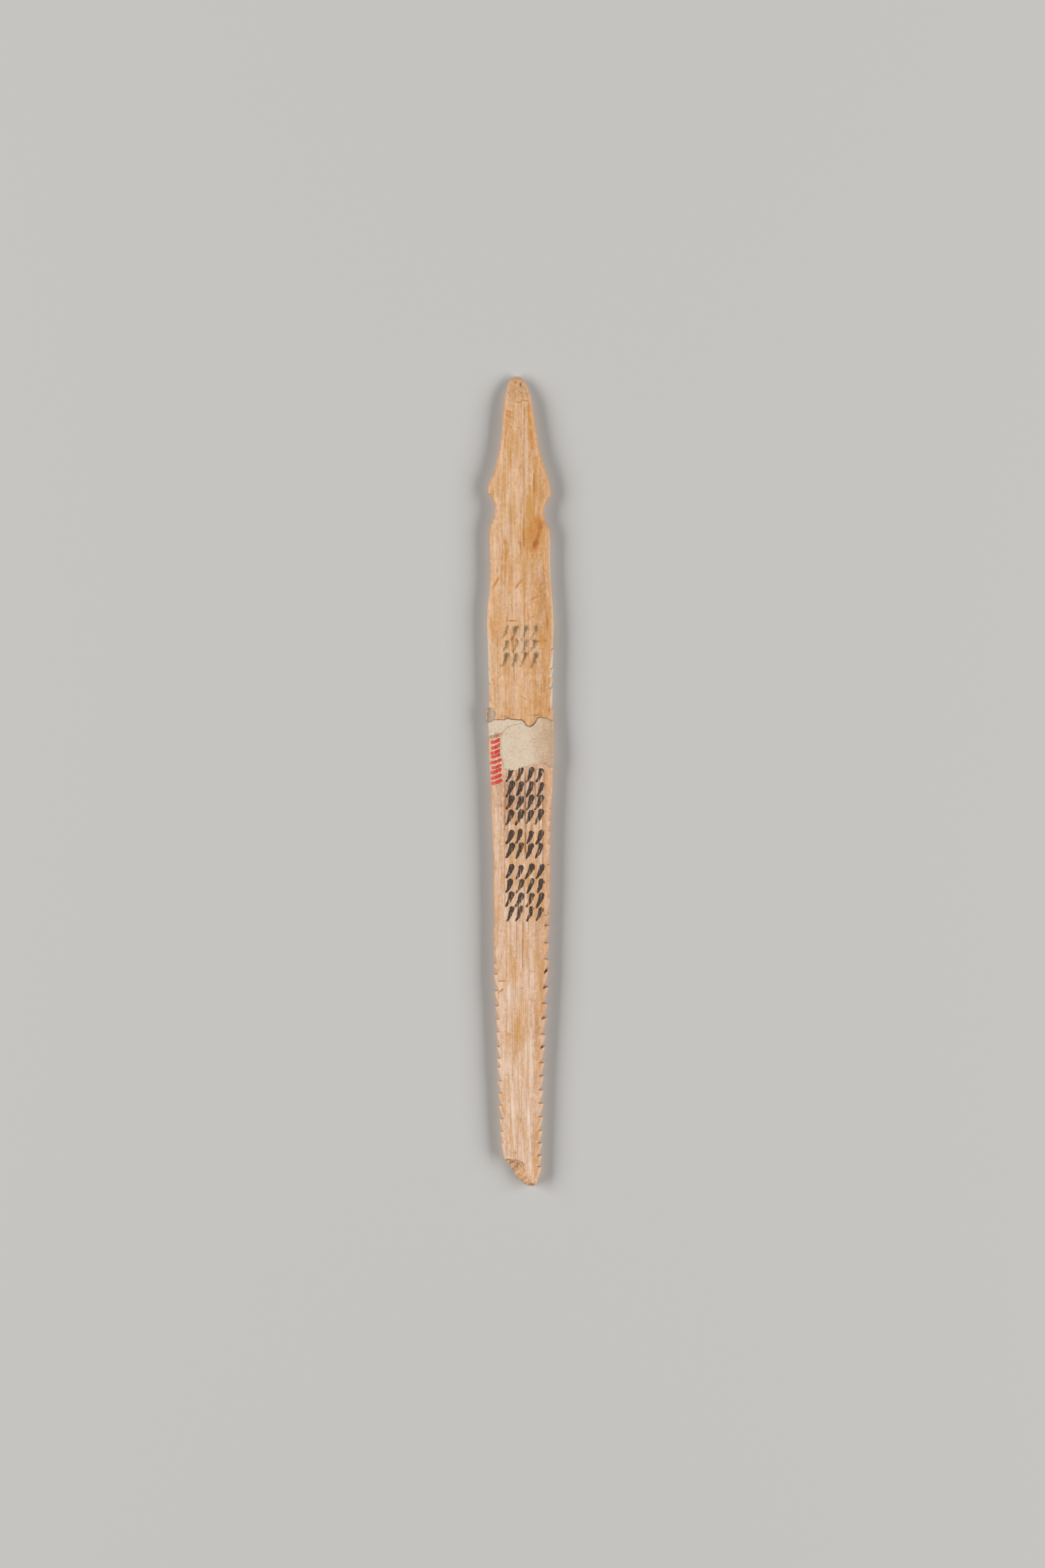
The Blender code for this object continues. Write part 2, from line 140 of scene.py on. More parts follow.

# What is marked on each length of bone, placed one by one. Lines run from (x, y) down to (x, y).
#   grooves    vessel grooves: line, width, depth
#   fibres     bare pale fibres: line, width, strength
#   amber, rust, umber
#              stains: centre (x, y), radii across and along, turn in degrees, strength
#   chalk  chalky stretches of the edges, with a painted highlight along the rim, as the stains
#   chips      fresh chips out of the edges, with a depth for the strength
#   nicks      rows of nicks down an edge: line, how many, radii, depth
#   pits       dark pits: centre, radii, turn, depth
#   pores      small pores anywhere in open bone: two corners, how many, most radius and depth, seed
#   cracks     fine cracks: points along them, width, depth
#   scratches  rows of slanting scratches left by shaping: (x, y) of the first, how many, step, rise
UPPER = {
    "grooves": [
        ((1.05, 77.2), (1.05, 66), 0.34, 0.04), ((1.05, 66.5), (1, 55.5), 0.34, 0.045),
        ((1, 56.2), (1.1, 47), 0.36, 0.038), ((1.1, 47.5), (1.15, 32), 0.18, 0.03),
        ((1.15, 37), (1.2, 24), 0.2, 0.051), ((1.4, 15.5), (1.4, 13.4), 0.19, 0.036),
        ((-0.1, 77), (-0.1, 69), 0.16, 0.024), ((-1.6, 68), (-1.65, 46.5), 0.24, 0.04),
        ((-1.45, 46.8), (-1.35, 33), 0.24, 0.045), ((3, 66), (3.2, 52), 0.45, 0.025),
        ((0.5, 56.6), (0.5, 53.2), 0.22, 0.033), ((0.3, 50), (0.35, 46), 0.27, 0.03),
        ((2.25, 64), (2.3, 49), 0.16, 0.018), ((-2.9, 62), (-2.8, 47), 0.16, 0.018),
        ((-0.6, 60), (-0.5, 44), 0.16, 0.018), ((2.9, 43), (2.9, 35.5), 0.19, 0.033),
        ((-3.8, 50), (-3.7, 28), 0.16, 0.018), ((-1.15, 30.5), (-0.95, 19.5), 0.22, 0.06),
        ((2.4, 34), (2.5, 14), 0.19, 0.021), ((-2.6, 24), (-2.6, 13), 0.19, 0.021),
        ((0, 26), (0, 13), 0.16, 0.018), ((4.6, 36), (4.7, 16), 0.16, 0.018),
    ],
    "fibres": [
        ((1.65, 76.8), (1.6, 60), 0.22, 0.5), ((-3.3, 62), (-3.2, 50), 0.65, 0.33),
        ((0.55, 62), (0.5, 56.5), 0.39, 0.39), ((-0.2, 46), (-0.1, 34), 0.52, 0.33),
        ((0.5, 36), (0.6, 18), 0.39, 0.33), ((-3.4, 24), (-3.3, 13.5), 0.52, 0.39),
        ((2.1, 44), (2.1, 34), 0.33, 0.33), ((-2.2, 60), (-2.3, 50), 0.39, 0.33),
    ],
    "amber": [
        (1.9, 55.2, 0.75, 3.6, 0, 0.75), (2.7, 52.3, 0.9, 3.4, -5, 0.8), (2, 50, 1, 3, 8, 0.85),
        (3.6, 50.2, 1.5, 3.2, -10, 0.65), (3.8, 53.2, 1.5, 1.7, 20, 0.8), (4.9, 52.6, 1, 1.7, 0, 0.6),
        (2.8, 47.5, 1.6, 2.4, 0, 0.6), (2, 75.6, 0.6, 1.8, 6, 0.65), (2.4, 69.8, 0.6, 2.4, 12, 0.6),
        (3.15, 61, 0.28, 4.5, 0, 0.6), (1, 44.5, 1.6, 4.5, 0, 0.45), (-5.5, 31.3, 0.4, 2.4, 8, 1),
        (6, 33, 0.7, 4.5, -2, 0.7), (6.2, 41, 0.5, 4, 0, 0.45), (4.8, 28.6, 1.5, 1.2, 0, 0.7),
        (-2.4, 74.5, 1, 2.6, 0, 0.1), (-1.4, 69, 1.1, 3.5, 0, 0.3), (3.6, 58.5, 0.7, 3.5, 0, 0.4),
        (-3, 56, 0.5, 3.5, 0, 0.35), (-5.4, 58.8, 0.6, 0.9, 0, 0.6), (5.6, 21.5, 0.6, 3.5, 0, 0.45),
        (-2.3, 24.5, 0.8, 3, 0, 0.4), (3.2, 23, 0.7, 1.4, 0, 0.5), (-5.3, 50.5, 0.5, 1.4, 0, 0.4),
        (-2.75, 48.6, 0.5, 0.9, 0, 0.75), (-4.8, 40.3, 0.28, 1.9, -32, 0.9),
        (-2.5, 46.4, 0.28, 1.7, -10, 0.7), (0.6, 57, 0.35, 2.5, 0, 0.5), (5.2, 37, 1.3, 7, 0, 0.3),
        (4.6, 17, 1.6, 5, 0, 0.2), (2.8, 72.5, 0.7, 4.5, 8, 0.7), (3.4, 66, 0.5, 3, 10, 0.5),
    ],
    "rust": [
        (4.1, 52.6, 1.4, 1.8, -15, 0.75), (2.7, 50.6, 1.1, 2.8, 0, 0.62), (4.4, 52, 0.6, 1.2, -15, 0.9),
        (4, 50.3, 0.5, 1.4, -22, 0.9), (3.4, 48.2, 0.65, 1.6, -22, 1), (2.8, 46.2, 0.4, 1, 0, 0.6),
        (1, 49.6, 0.34, 2.4, 0, 0.75), (0, 48.6, 0.4, 1.4, 10, 0.45), (-2.75, 48.5, 0.5, 0.75, 0, 0.5),
        (-2.5, 46.5, 0.24, 1.6, -10, 0.55), (-3.1, 43.5, 0.2, 1.5, -10, 0.45),
        (-4.8, 40.3, 0.24, 1.8, -32, 0.72), (0, 40.2, 0.28, 1.5, -38, 0.75),
        (3.2, 37.35, 0.24, 1.2, -64, 0.8), (-1.3, 32.7, 0.18, 1.2, 88, 1),
        (2.4, 33.2, 0.16, 1.3, -62, 0.55), (4.1, 28.5, 0.5, 0.26, 20, 0.65),
        (5.2, 28.8, 0.7, 0.24, -14, 0.6), (4.5, 29.6, 0.5, 0.2, 0, 0.45), (4.5, 27, 1, 0.17, 0, 0.65),
        (-1.4, 28.4, 0.22, 2.2, 3, 0.8), (1, 17, 0.17, 0.95, 55, 0.8), (2.1, 76.3, 0.5, 1.5, 4, 0.6),
        (2.35, 73.4, 0.5, 1.6, 8, 0.5), (2.5, 70.4, 0.45, 1.5, 8, 0.75), (2.8, 68.2, 0.35, 1.3, 8, 0.6),
        (-5.2, 20.5, 0.18, 0.9, 14, 0.55), (5.5, 20.2, 0.18, 0.9, 14, 0.5), (-2.7, 71, 0.4, 0.8, 0, 0.4),
        (-1.1, 70, 0.35, 1.6, 0, 0.4), (-0.8, 82, 1.3, 0.6, 0, 0.55), (0.9, 78.9, 0.6, 0.4, 20, 0.4),
        (-1.6, 79.4, 0.6, 0.5, -40, 0.45), (-2.4, 75.4, 0.2, 0.9, 55, 0.6),
        (-2.2, 74.4, 0.2, 0.9, 55, 0.65), (-2.6, 73.2, 0.2, 0.7, 55, 0.55),
    ],
    "umber": [
        (5.9, 32.4, 0.35, 2.4, 0, 0.6), (6.4, 36, 0.3, 5, -3, 0.4), (6.5, 28, 0.3, 3.5, 0, 0.35),
        (6.2, 14.6, 0.3, 0.8, 0, 0.8), (3.4, 13.5, 1.3, 0.35, 0, 0.6), (-2.6, 13.2, 0.9, 0.3, 0, 0.65),
        (4.3, 28.6, 0.35, 0.22, 20, 0.6), (5.3, 28.7, 0.45, 0.16, -14, 0.6),
        (4.6, 29.4, 0.4, 0.14, 30, 0.5), (1, 49.3, 0.3, 2.2, 0, 0.35), (3.3, 48.3, 0.62, 1.5, -22, 0.8),
        (4.45, 51.9, 0.65, 1.3, -15, 0.5), (4, 50.2, 0.5, 1.3, -22, 0.4), (3.1, 60.5, 0.25, 3.6, 0, 0.6),
        (4.9, 59.5, 0.1, 1.4, 0, 0.3), (-1.5, 28.9, 0.14, 0.6, 0, 0.9), (0.45, 55.2, 0.18, 1.9, 0, 0.4),
        (-5.2, 20.3, 0.14, 0.8, 14, 0.5), (0.3, 48.2, 0.3, 2, 0, 0.35), (3.2, 54.5, 0.14, 2.6, 0, 0.35),
        (0, 82.3, 1.6, 0.3, 0, 0.5), (5, 38, 1.8, 8, 0, 0.38), (5, 19, 1.6, 6, 0, 0.3),
        (0.3, 80.7, 0.3, 0.6, 14, 0.45), (-0.2, 79, 0.5, 0.5, 0, 0.35),
    ],
    "chalk": [
        (-6.3, 37, 0.7, 10, 0, 0.7), (-6.3, 24, 0.7, 8, 0, 1), (6.3, 44, 0.8, 5.5, 0, 0.9),
        (6.7, 33.5, 0.7, 7, 0, 0.8), (6.8, 21, 0.7, 8.5, 0, 0.95), (-5.9, 47, 0.5, 3, 0, 0.5),
    ],
    "chips": [
        (-6.05, 16, 0.31, 0.9, 22, 0.12), (-5.95, 18.6, 0.24, 0.45, 22, 0.096),
        (6.65, 17, 0.28, 0.8, 0, 0.108), (6.7, 19.3, 0.22, 0.45, 20, 0.084),
        (6.8, 21.6, 0.2, 0.4, 10, 0.072), (-6.05, 20.6, 0.22, 0.4, 10, 0.072),
        (6.75, 23.6, 0.22, 0.4, 0, 0.06), (-6.2, 24, 0.17, 0.35, 0, 0.06),
        (6.85, 27.2, 0.2, 0.5, 0, 0.06),
    ],
    "nicks": [
        ((-6.45, 32.2), (-6.15, 19.2), 18, (0.16, 0.24), 0.07),
        ((6.45, 47), (6.95, 31.5), 19, (0.14, 0.3), 0.06),
        ((-6.2, 45), (-6.4, 33), 14, (0.1, 0.2), 0.04),
    ],
    "pits": [
        (-0.65, 81.3, 0.2, 0.11, 0, 0.099), (0.35, 80.9, 0.11, 0.52, 14, 0.099),
        (0.95, 80.2, 0.11, 0.13, 0, 0.077), (-0.25, 80.2, 0.15, 0.08, 30, 0.066),
        (0.05, 79.5, 0.1, 0.15, 0, 0.077), (0.5, 79.2, 0.09, 0.08, 0, 0.066),
        (-0.1, 78.8, 0.1, 0.07, 0, 0.066), (1.3, 79.6, 0.07, 0.1, 0, 0.055),
        (0.75, 78.5, 0.07, 0.14, 0, 0.055), (1.45, 78.3, 0.09, 0.07, 0, 0.055),
        (-0.6, 78.2, 0.09, 0.07, 0, 0.044), (0, 72, 0.28, 0.08, -18, 0.055),
        (-0.45, 74, 0.07, 0.09, 0, 0.039), (3.4, 58.2, 0.09, 0.08, 0, 0.055),
        (1, 81.6, 0.18, 0.08, 20, 0.055),
    ],
    "pores": ((-2.6, 77.2), (2.6, 82.4), 130, 0.12, 0.09, 4),
    "cracks": [

        ([(-0.85, 77.35), (-0.3, 77.2), (0.2, 77.2), (0.8, 77.7), (1.3, 77.45), (2.5, 77.6)], 0.16, 0.08),
        ([(0.85, 78.5), (1, 78.1), (0.8, 77.7)], 0.1, 0.05), ([(-0.9, 77.3), (-1, 76.9)], 0.1, 0.04),
        ([(-2, 14.4), (-0.4, 14.9), (1.4, 15.3)], 0.15, 0.014),
    ],
    "scratches": [
        ((-2.6, 78), 5, 0.75, -0.75), ((-1.9, 80.6), 4, 0.7, -0.8), ((-3, 73.8), 3, 0.9, -0.6),
    ],
}
LOWER = {
    "grooves": [
        ((1.3, 2.4), (1.35, -16.8), 0.42, 0.085), ((1.25, -18.5), (0.9, -28), 0.21, 0.056),
        ((0.8, -27), (0.85, -38.8), 0.21, 0.064), ((-0.4, -28), (-0.45, -36.5), 0.2, 0.06),
        ((-2.8, 1), (-2.85, -10.5), 0.24, 0.08), ((-2.85, -10), (-2.9, -27), 0.2, 0.05),
        ((-2.3, 2.2), (-2.4, -14), 0.24, 0.045), ((-1.3, 2.2), (-1.35, -8), 0.28, 0.06),
        ((-0.5, 2.4), (-0.5, -5), 0.26, 0.05), ((0.3, 2.6), (0.3, -7), 0.24, 0.05),
        ((2.2, 3), (2.3, -3), 0.28, 0.06), ((3.3, 3), (3.35, -4.5), 0.32, 0.07),
        ((4.1, 3.3), (4.05, -3), 0.24, 0.05), ((5.2, 3), (5.1, -6), 0.26, 0.05),
        ((4.86, -2.5), (4.9, -24), 0.24, 0.055), ((2.6, -4), (2.6, -17), 0.15, 0.04),
        ((-0.4, -9), (-0.4, -22), 0.15, 0.04), ((-3.5, -3), (-3.5, -26), 0.14, 0.028),
        ((2, -17), (2, -44), 0.15, 0.04), ((-1.7, -14), (-1.6, -38), 0.14, 0.044),
        ((3.5, -22), (3.4, -40), 0.14, 0.036), ((-2.5, -30), (-2.5, -41), 0.14, 0.04),
        ((0.6, -60), (0.45, -71), 0.11, 0.04), ((-0.3, -66), (-0.2, -76), 0.11, 0.048),
    ],
    "fibres": [
        ((-3.7, -38), (-3.2, -62), 1.3, 0.5), ((-4.9, -4), (-4.7, -22), 0.8, 0.45),
        ((4.45, -1.6), (4.45, -10.8), 0.3, 0.85), ((4.6, 2.8), (4.6, -2), 0.38, 0.38),
        ((-0.9, 2.3), (-0.95, -4), 0.45, 0.42), ((0.75, 2.4), (0.8, -3.5), 0.45, 0.38),
        ((2.75, 2.8), (2.8, -2.5), 0.45, 0.38), ((-3.2, -4), (-3.2, -18), 0.24, 0.34),
        ((-2, -29), (-2.05, -38), 0.33, 0.42), ((-2.05, -40.8), (-1.95, -51.5), 0.51, 0.81),
        ((-1.6, -41.5), (-1.5, -53), 0.21, 0.51), ((0.05, -41), (0.05, -46), 0.27, 0.42),
        ((-2.1, -53), (-1.6, -66), 0.3, 0.42), ((-1.65, -58), (-0.8, -76.4), 0.36, 0.81),
        ((-1.2, -60), (-0.65, -73), 0.18, 0.51), ((2.9, -44.5), (3, -56), 0.21, 0.59),
        ((2.5, -49), (2.3, -66), 0.3, 0.72), ((1.4, -49.5), (1.4, -66), 0.22, 0.64),
        ((1.95, -51), (1.7, -66), 0.2, 0.51), ((2.8, -57), (2.6, -65), 0.18, 0.51),
        ((2, -66), (2.25, -80.2), 0.45, 0.81), ((1.5, -67), (1.6, -76), 0.21, 0.42),
        ((0.4, -58), (0.3, -74), 0.15, 0.34), ((-0.4, -56), (-0.1, -73), 0.15, 0.34),
    ],
    "amber": [
        (0.2, -51, 1.6, 4.5, 0, 0.56), (3.9, -48.8, 0.9, 1.6, 0, 0.25), (0.6, -57, 0.8, 6, 0, 0.34),
        (0, -67, 0.8, 6, 4, 0.26), (3.8, -37, 1.4, 2.6, 20, 0.38), (0.9, -33, 1.6, 4.5, 0, 0.34),
        (4.4, -41, 0.6, 4, 0, 0.38), (-4.4, -31, 0.6, 5, 0, 0.26), (5.4, -9, 0.5, 6, 0, 0.34),
        (-1, -20.5, 1.8, 3, 0, 0.26), (4.6, -33, 0.6, 1.6, 0, 0.38), (-0.5, -13, 3.6, 8, 0, 0.3),
        (2.6, -20, 2.4, 6, 0, 0.3), (-2.2, -33, 1.4, 5, 0, 0.22), (5, -24, 0.8, 8, 0, 0.3),
        (-4.9, 2, 0.7, 6, 0, 0.22),
    ],
    "rust": [
        (0, -49, 0.4, 2, 0, 0.4), (-0.8, -37, 0.3, 1.6, 0, 0.45), (2.6, -45.5, 0.5, 1.2, 0, 0.3),
        (-1.2, -7.6, 0.7, 0.5, 30, 0.35), (-0.6, -55, 0.3, 3, 0, 0.3), (0.4, -39.5, 0.2, 1.6, 0, 0.4),
        (1.6, -75.5, 0.3, 2, 0, 0.25), (2.4, -38.5, 0.4, 0.7, 0, 0.4), (-3.4, -40.6, 1.3, 0.22, 2, 0.7),
        (-3.7, -42.6, 0.3, 1, -50, 0.7), (-4.2, -26.2, 0.9, 0.5, 20, 0.35),
        (2.2, -44.2, 0.6, 1, 30, 0.35),
    ],
    "umber": [
        (-3.4, -40.6, 1.1, 0.14, 2, 0.45), (-3.7, -42.6, 0.2, 0.8, -50, 0.45),
        (0.6, -42.1, 0.3, 0.12, 10, 0.8), (-0.65, -75.4, 0.16, 0.35, 0, 0.9),
        (-4.7, 9.3, 1.4, 0.5, 18, 0.9), (3.4, -44.6, 0.12, 0.5, 20, 0.5), (-2.8, -5, 0.4, 7, 0, 0.5),
        (-1, -3, 8, 6.5, 0, 0.42), (3.8, -50, 1.2, 6, 0, 0.3), (4.9, -15, 0.3, 7, 0, 0.45),
        (-4.4, -3, 0.3, 8, 0, 0.35), (2.6, -38.6, 0.9, 0.1, -6, 0.4), (-5.4, 3, 0.14, 3.5, 0, 0.35),
        (0.35, -68.9, 0.08, 0.5, 0, 0.8),
    ],
    "chalk": [
        (-5.8, 3, 0.5, 4, 3, 0.7), (-5.3, -9, 0.5, 5, 1, 0.5), (6.7, -3, 0.5, 5, 1, 0.5),
        (-4.6, -70, 0.6, 8, -3, 0.35), (4.4, -72, 0.6, 9, 3, 0.45),
    ],
    "chips": [(-3.1, -24.4, 0.35, 0.12, 10, 0.02)],
    "nicks": [],
    "pits": [
        (0.6, -42, 0.14, 0.1, 0, 0.055), (-0.65, -75.4, 0.1, 0.24, 0, 0.039),
        (3.9, -25.6, 0.1, 0.1, 0, 0.044), (3.2, -44.6, 0.1, 0.1, 0, 0.039),
    ],
    "pores": ((-5.6, -82.5), (4.6, -76.4), 260, 0.13, 0.08, 6),
    "cracks": [
        ([(-2.2, -77), (-0.5, -76.95), (0.7, -77.4), (1.2, -78.3)], 0.12, 0.08),
        ([(5, -27), (5.5, -27.3), (6, -27)], 0.13, 0.09),
    ],
    "scratches": [((-2.9, -51.6), 2, 0.35, 0.35), ((-0.2, -20.2), 2, 0.3, 0.5)],
}

# The ink: groups of rows of slanting brush strokes, all alike, where it was written. Each group
# is its first row's height, its last row's, and how many rows it has.
INK_GROUPS = [(1.2, -7.4, 4), (-11.4, -14.2, 2), (-18.5, -27.1, 4)]
FADED_GROUPS = [(30.2, 24.6, 3)]
INK_ACROSS, FADED_ACROSS = np.linspace(-2.0, 4.1, 4), np.linspace(-2.9, 2.9, 4)
BRUSH_TAPER = 0.4
# Red marks: one slanting stroke under another down the left edge.
RED_GROUPS, RED_ACROSS = [(8.3, -0.1, 9)], [-4.65]

# The mend.
PLASTER_SPREAD = 0.28  # how far its edges reach over the broken bone
PLASTER_OUTER = 0.25  # what is this near the sides of the blade stays inside them
PLASTER_WALL = 0.4  # normals of its walls point sideways by more than this
PLASTER_TOP, TOP_BLEND = 1.2, 0.4  # only what is higher than this is ragged and raised
JOINT_LEVEL, JOINT_BLEND = 2.22, 0.12  # the joint stands open above this
RAGGED = [(7.0, 0.07), (17.0, 0.04)]  # waves of its lower edge: per millimetre, height
PLASTER_RISE, PLASTER_LOW = 0.16, 0.12  # it is raised by this, and by so much less at the upper fracture
PLASTER_LEVEL = (11.0, 6.0)  # it comes up to its full height between these
UPPER_FRACTURE = 10.6  # the upper fracture lies higher than this
UPPER_FACING = 0.5  # and the plaster there faces the head by more than this
# How far the joint at the upper fracture stands open: x, width.
JOINT_OPEN = [
    (-6.2, 0), (-4.6, 0.04), (-3.2, 0.07), (-2.9, 0.12), (-1.6, 0.12), (-1.2, 0.07), (1.2, 0.1),
    (2.2, 0.1), (2.35, 0.17), (3.3, 0.17), (3.7, 0.09), (6.3, 0.05),
]
PLASTER_CRACKS = [
    ([(-3.6, 9.9), (-2.8, 10.6), (-2.3, 11), (-1.4, 11.4), (-0.5, 11.65), (0.7, 11.85), (1.3, 12)],
     0.11, 0.1),
    ([(-3.85, 11.9), (-3.8, 11.2), (-3.9, 10.5)], 0.08, 0.03), ([(1.9, 5.5), (2.6, 4.4)], 0.08, 0.02),
]
PLASTER_SCARS = [
    (-2.3, 11.4, 0.8, 0.25, 12, 0.03), (3.2, 8, 0.12, 0.1, 0, 0.06), (1.4, 6.6, 0.1, 0.1, 0, 0.05),
    (-1.4, 5.2, 0.1, 0.1, 0, 0.05), (2.3, 11, 0.1, 0.08, 0, 0.08),
]

# The glue: the drop's bubble, and the film that it left on the face of the bone.
BUBBLE = (-6.6, 13.75, 0.32)  # x, y, radius
BUBBLE_HEIGHT, BUBBLE_SWELL = 0.05, 1.6  # how high it stands, and how tightly it swells
BUBBLE_SHADE = 1.3  # its shading reaches this many radii out
DROP_TOP = 1.0  # the bubble is on what is higher than this
DROP_SMOOTHING = 30
FILM_CENTRE, FILM_RADII = (-5.8, 13.5), (1.25, 1.5)
FILM_WAVE = 0.05  # how ragged its edge is
FILM_THICK, FILM_SINK = 0.1, 0.04  # over the bone in the middle, and under it at the edge
FILM_DEEP, FILM_LOW = 0.3, 0.3  # how far the film's solid reaches into the bone, and its lowest
FILM_MARGIN = 0.02  # it stays this far inside the drop's own edge
FILM_RINGS, FILM_AROUND = 14, 48
BONE_EDGE = -6.15  # beyond this the film rounds over into the drop
THIN_OVER, THIN_EDGE = 1.2, 0.4  # glue thins out over this, and is so thin at the bone's edge
EDGE_HEIGHT, EDGE_FALL = 1.95, 0.67  # from this height, falling so much per square millimetre

# The camera and lights, in metres.
VIEW_CENTRE, VIEW_HEIGHT = (0.00075, -0.0005), 0.8883
LENS = 100.0
LAMPS = [("left_softbox", (-1.7, 0.1, 0.72)), ("right_softbox", (1.7, -0.1, 0.72))]
LAMP_SIZE = (2.2, 0.68)  # along the saw, upwards
FLOOR_SIZE, FLOOR_DROP = 6.0, 0.00002


def linear(code):
    """The linear colour of an sRGB hex code."""
    channels = [int(code[k : k + 2], 16) / 255 for k in (1, 3, 5)]
    return tuple(c / 12.92 if c <= 0.04045 else ((c + 0.055) / 1.055) ** 2.4 for c in channels)


def colour(name, description, code):
    return FloatVectorProperty(
        name=name, description=description, subtype="COLOR", size=3, min=0.0, max=1.0,
        default=linear(code),
    )


def length(name, description, millimetres):
    return FloatProperty(
        name=name, description=description, unit="LENGTH", precision=6, min=0.0,
        default=millimetres * MM,
    )


class BoneLook(bpy.types.PropertyGroup):
    """Grain and colours of the two lengths of bone."""

    flute_width: length("Flute width", "Width of the shallow flutes along the grain", 1.5)
    flute_depth: length("Flute depth", "Depth of the shallow flutes", 0.05)
    fibre_width: length("Fibre width", "Width of the fibres that stand out along the grain", 0.34)
    fibre_depth: length("Fibre depth", "Depth between the fibres", 0.05)
    pore_size: length("Pore size", "Size of the pores in spongy bone", 0.3)
    pore_depth: length("Pore depth", "Depth of the pores in spongy bone", 0.042)
    upper_light: colour("Upper, light", "Pale streaks of the upper length", "#E7C29C")
    upper_dark: colour("Upper, dark", "Dark streaks of the upper length", "#C99158")
    lower_light: colour("Lower, light", "Pale streaks of the lower length", "#EACBB1")
    lower_dark: colour("Lower, dark", "Dark streaks of the lower length", "#C99B75")
    warm: colour("Warm patches", "Where the bone has yellowed", "#DB9F62")
    pink: colour("Pink patches", "Where the bone is pinkish", "#DFB498")
    fibre: colour("Bare fibre", "Bleached fibres", "#F0DAC6")
    # Painted shade: this darker colour is laid on the steep sides of the blade, so that they come out no
    # brighter than its face.
    edge: colour("Edge", "Handled, dirty sides of the blade", "#AE8259")
    # Partly wear, partly a painted highlight along the long flanks of the teeth.
    flank: colour("Tooth flank", "Worn, shining flanks of the teeth", "#EBCDA3")
    # Partly chalky wear, partly a painted highlight along the rims of the blade; fresh chips use it too.
    chalk: colour("Chalk", "Fresh chips and chalky edges", "#C2B19B")
    groove: colour("Groove", "Dirt in the vessel grooves", "#63422A")
    soil: colour("Soil", "Brown dust along the vessel grooves", "#A56D3E")
    amber: colour("Amber stain", "Broad yellow stains", "#CE964F")
    rust: colour("Rust stain", "Rust-red stains", "#CA813C")
    # Also painted shade in the roots of the teeth.
    umber: colour("Umber stain", "Brown stains", "#985634")
    sponge: colour("Spongy bone", "Broken, spongy bone", "#C99B6E")
    seed: IntProperty(name="Seed", description="Seed of the grain", default=7, min=0)


class MarkLook(bpy.types.PropertyGroup):
    """Strokes that were painted on the bone, and their colours."""

    stroke_length: length("Stroke length", "Length of a brush stroke in ink", 2.6)
    stroke_width: length("Stroke width", "Width of a brush stroke where it starts", 1.3)
    stroke_lean: FloatProperty(
        name="Stroke lean", description="Lean of the brush strokes away from the grain",
        subtype="ANGLE", default=math.radians(24.0),
    )
    pen_length: length("Pen stroke length", "Length of a red stroke", 1.9)
    pen_width: length("Pen stroke width", "Width of a red stroke", 0.74)
    pen_lean: FloatProperty(
        name="Pen stroke lean", description="Lean of the red strokes away from the grain",
        subtype="ANGLE", default=math.radians(68.0),
    )
    ink: colour("Ink", "Brushed soot ink", "#302925")
    faded: colour("Faded ink", "Ink that has worn away", "#65553E")
    red: colour("Red paint", "Small red marks", "#CC3932")


class MendLook(bpy.types.PropertyGroup):
    """Plaster and glue of the repair."""

    pit_width: length("Pit width", "Size of the plaster's pits", 0.3)
    pit_depth: length("Pit depth", "Depth of the plaster's pits", 0.03)
    wave_width: length("Wave width", "Width of the waves in the plaster", 2.6)
    wave_depth: length("Wave depth", "How uneven the plaster was smoothed", 0.05)
    sand_size: length("Sand size", "Radius of the sand grains that show in the plaster", 0.05)
    sand_spacing: length("Sand spacing", "Least distance between sand grains", 0.36)
    plaster_light: colour("Plaster, light", "Clean plaster", "#DFCCB5")
    plaster_dark: colour("Plaster, dark", "Toned and dirty plaster", "#C4A281")
    sand: colour("Sand", "Grains in the plaster", "#9A7C5C")
    # Partly dirt, partly a painted shadow where the upper length's broken edge overhangs the plaster.
    joint: colour("Joint", "Dirt in the open joint", "#8A6240")
    glue_drop: colour("Glue drop", "Dried glue where it is thick", "#93826F")
    glue_film: colour("Glue film", "Dried glue where it is thin", "#C4A88E")
    seed: IntProperty(name="Seed", description="Seed of the plaster's texture", default=3, min=0)


class StageLook(bpy.types.PropertyGroup):
    """The floor, the lights and the air around the saw."""

    floor: colour("Floor", "Plain pale floor", "#C6C4C1")
    lamp_power: FloatProperty(
        name="Lamp power", description="Power of each softbox in watts", default=52.0, min=0.0
    )
    sky_strength: FloatProperty(
        name="Sky strength", description="Brightness of the even light", default=0.03, min=0.0
    )


def add(tree, kind, sockets=(), **settings):
    """Adds a node with its settings.

    sockets gives inputs their values, or what they hang on: a node, a socket, or the name of a layer
    of numbers that is stored on the surface.
    """
    node = tree.nodes.new(kind)
    for name, value in settings.items():
        setattr(node, name, value)
    for key, value in dict(sockets).items():
        is_layer = isinstance(value, str) and node.inputs[key].type != "STRING"
        if is_layer and tree.type == "GEOMETRY":
            value = add(tree, "GeometryNodeInputNamedAttribute", {"Name": value}, data_type="FLOAT")
        elif is_layer:
            value = add(tree, "ShaderNodeAttribute", attribute_name=value).outputs["Fac"]
        if isinstance(value, bpy.types.Node):
            value = value.outputs[0]
        if isinstance(value, bpy.types.NodeSocket):
            tree.links.new(value, node.inputs[key])
        else:
            node.inputs[key].default_value = value
    return node


def total(tree, *terms):
    """Sum of (value, weight) terms."""
    result = 0.0
    for value, weight in terms:
        result = add(tree, "ShaderNodeMath", {0: value, 1: weight, 2: result}, operation="MULTIPLY_ADD")
    return result


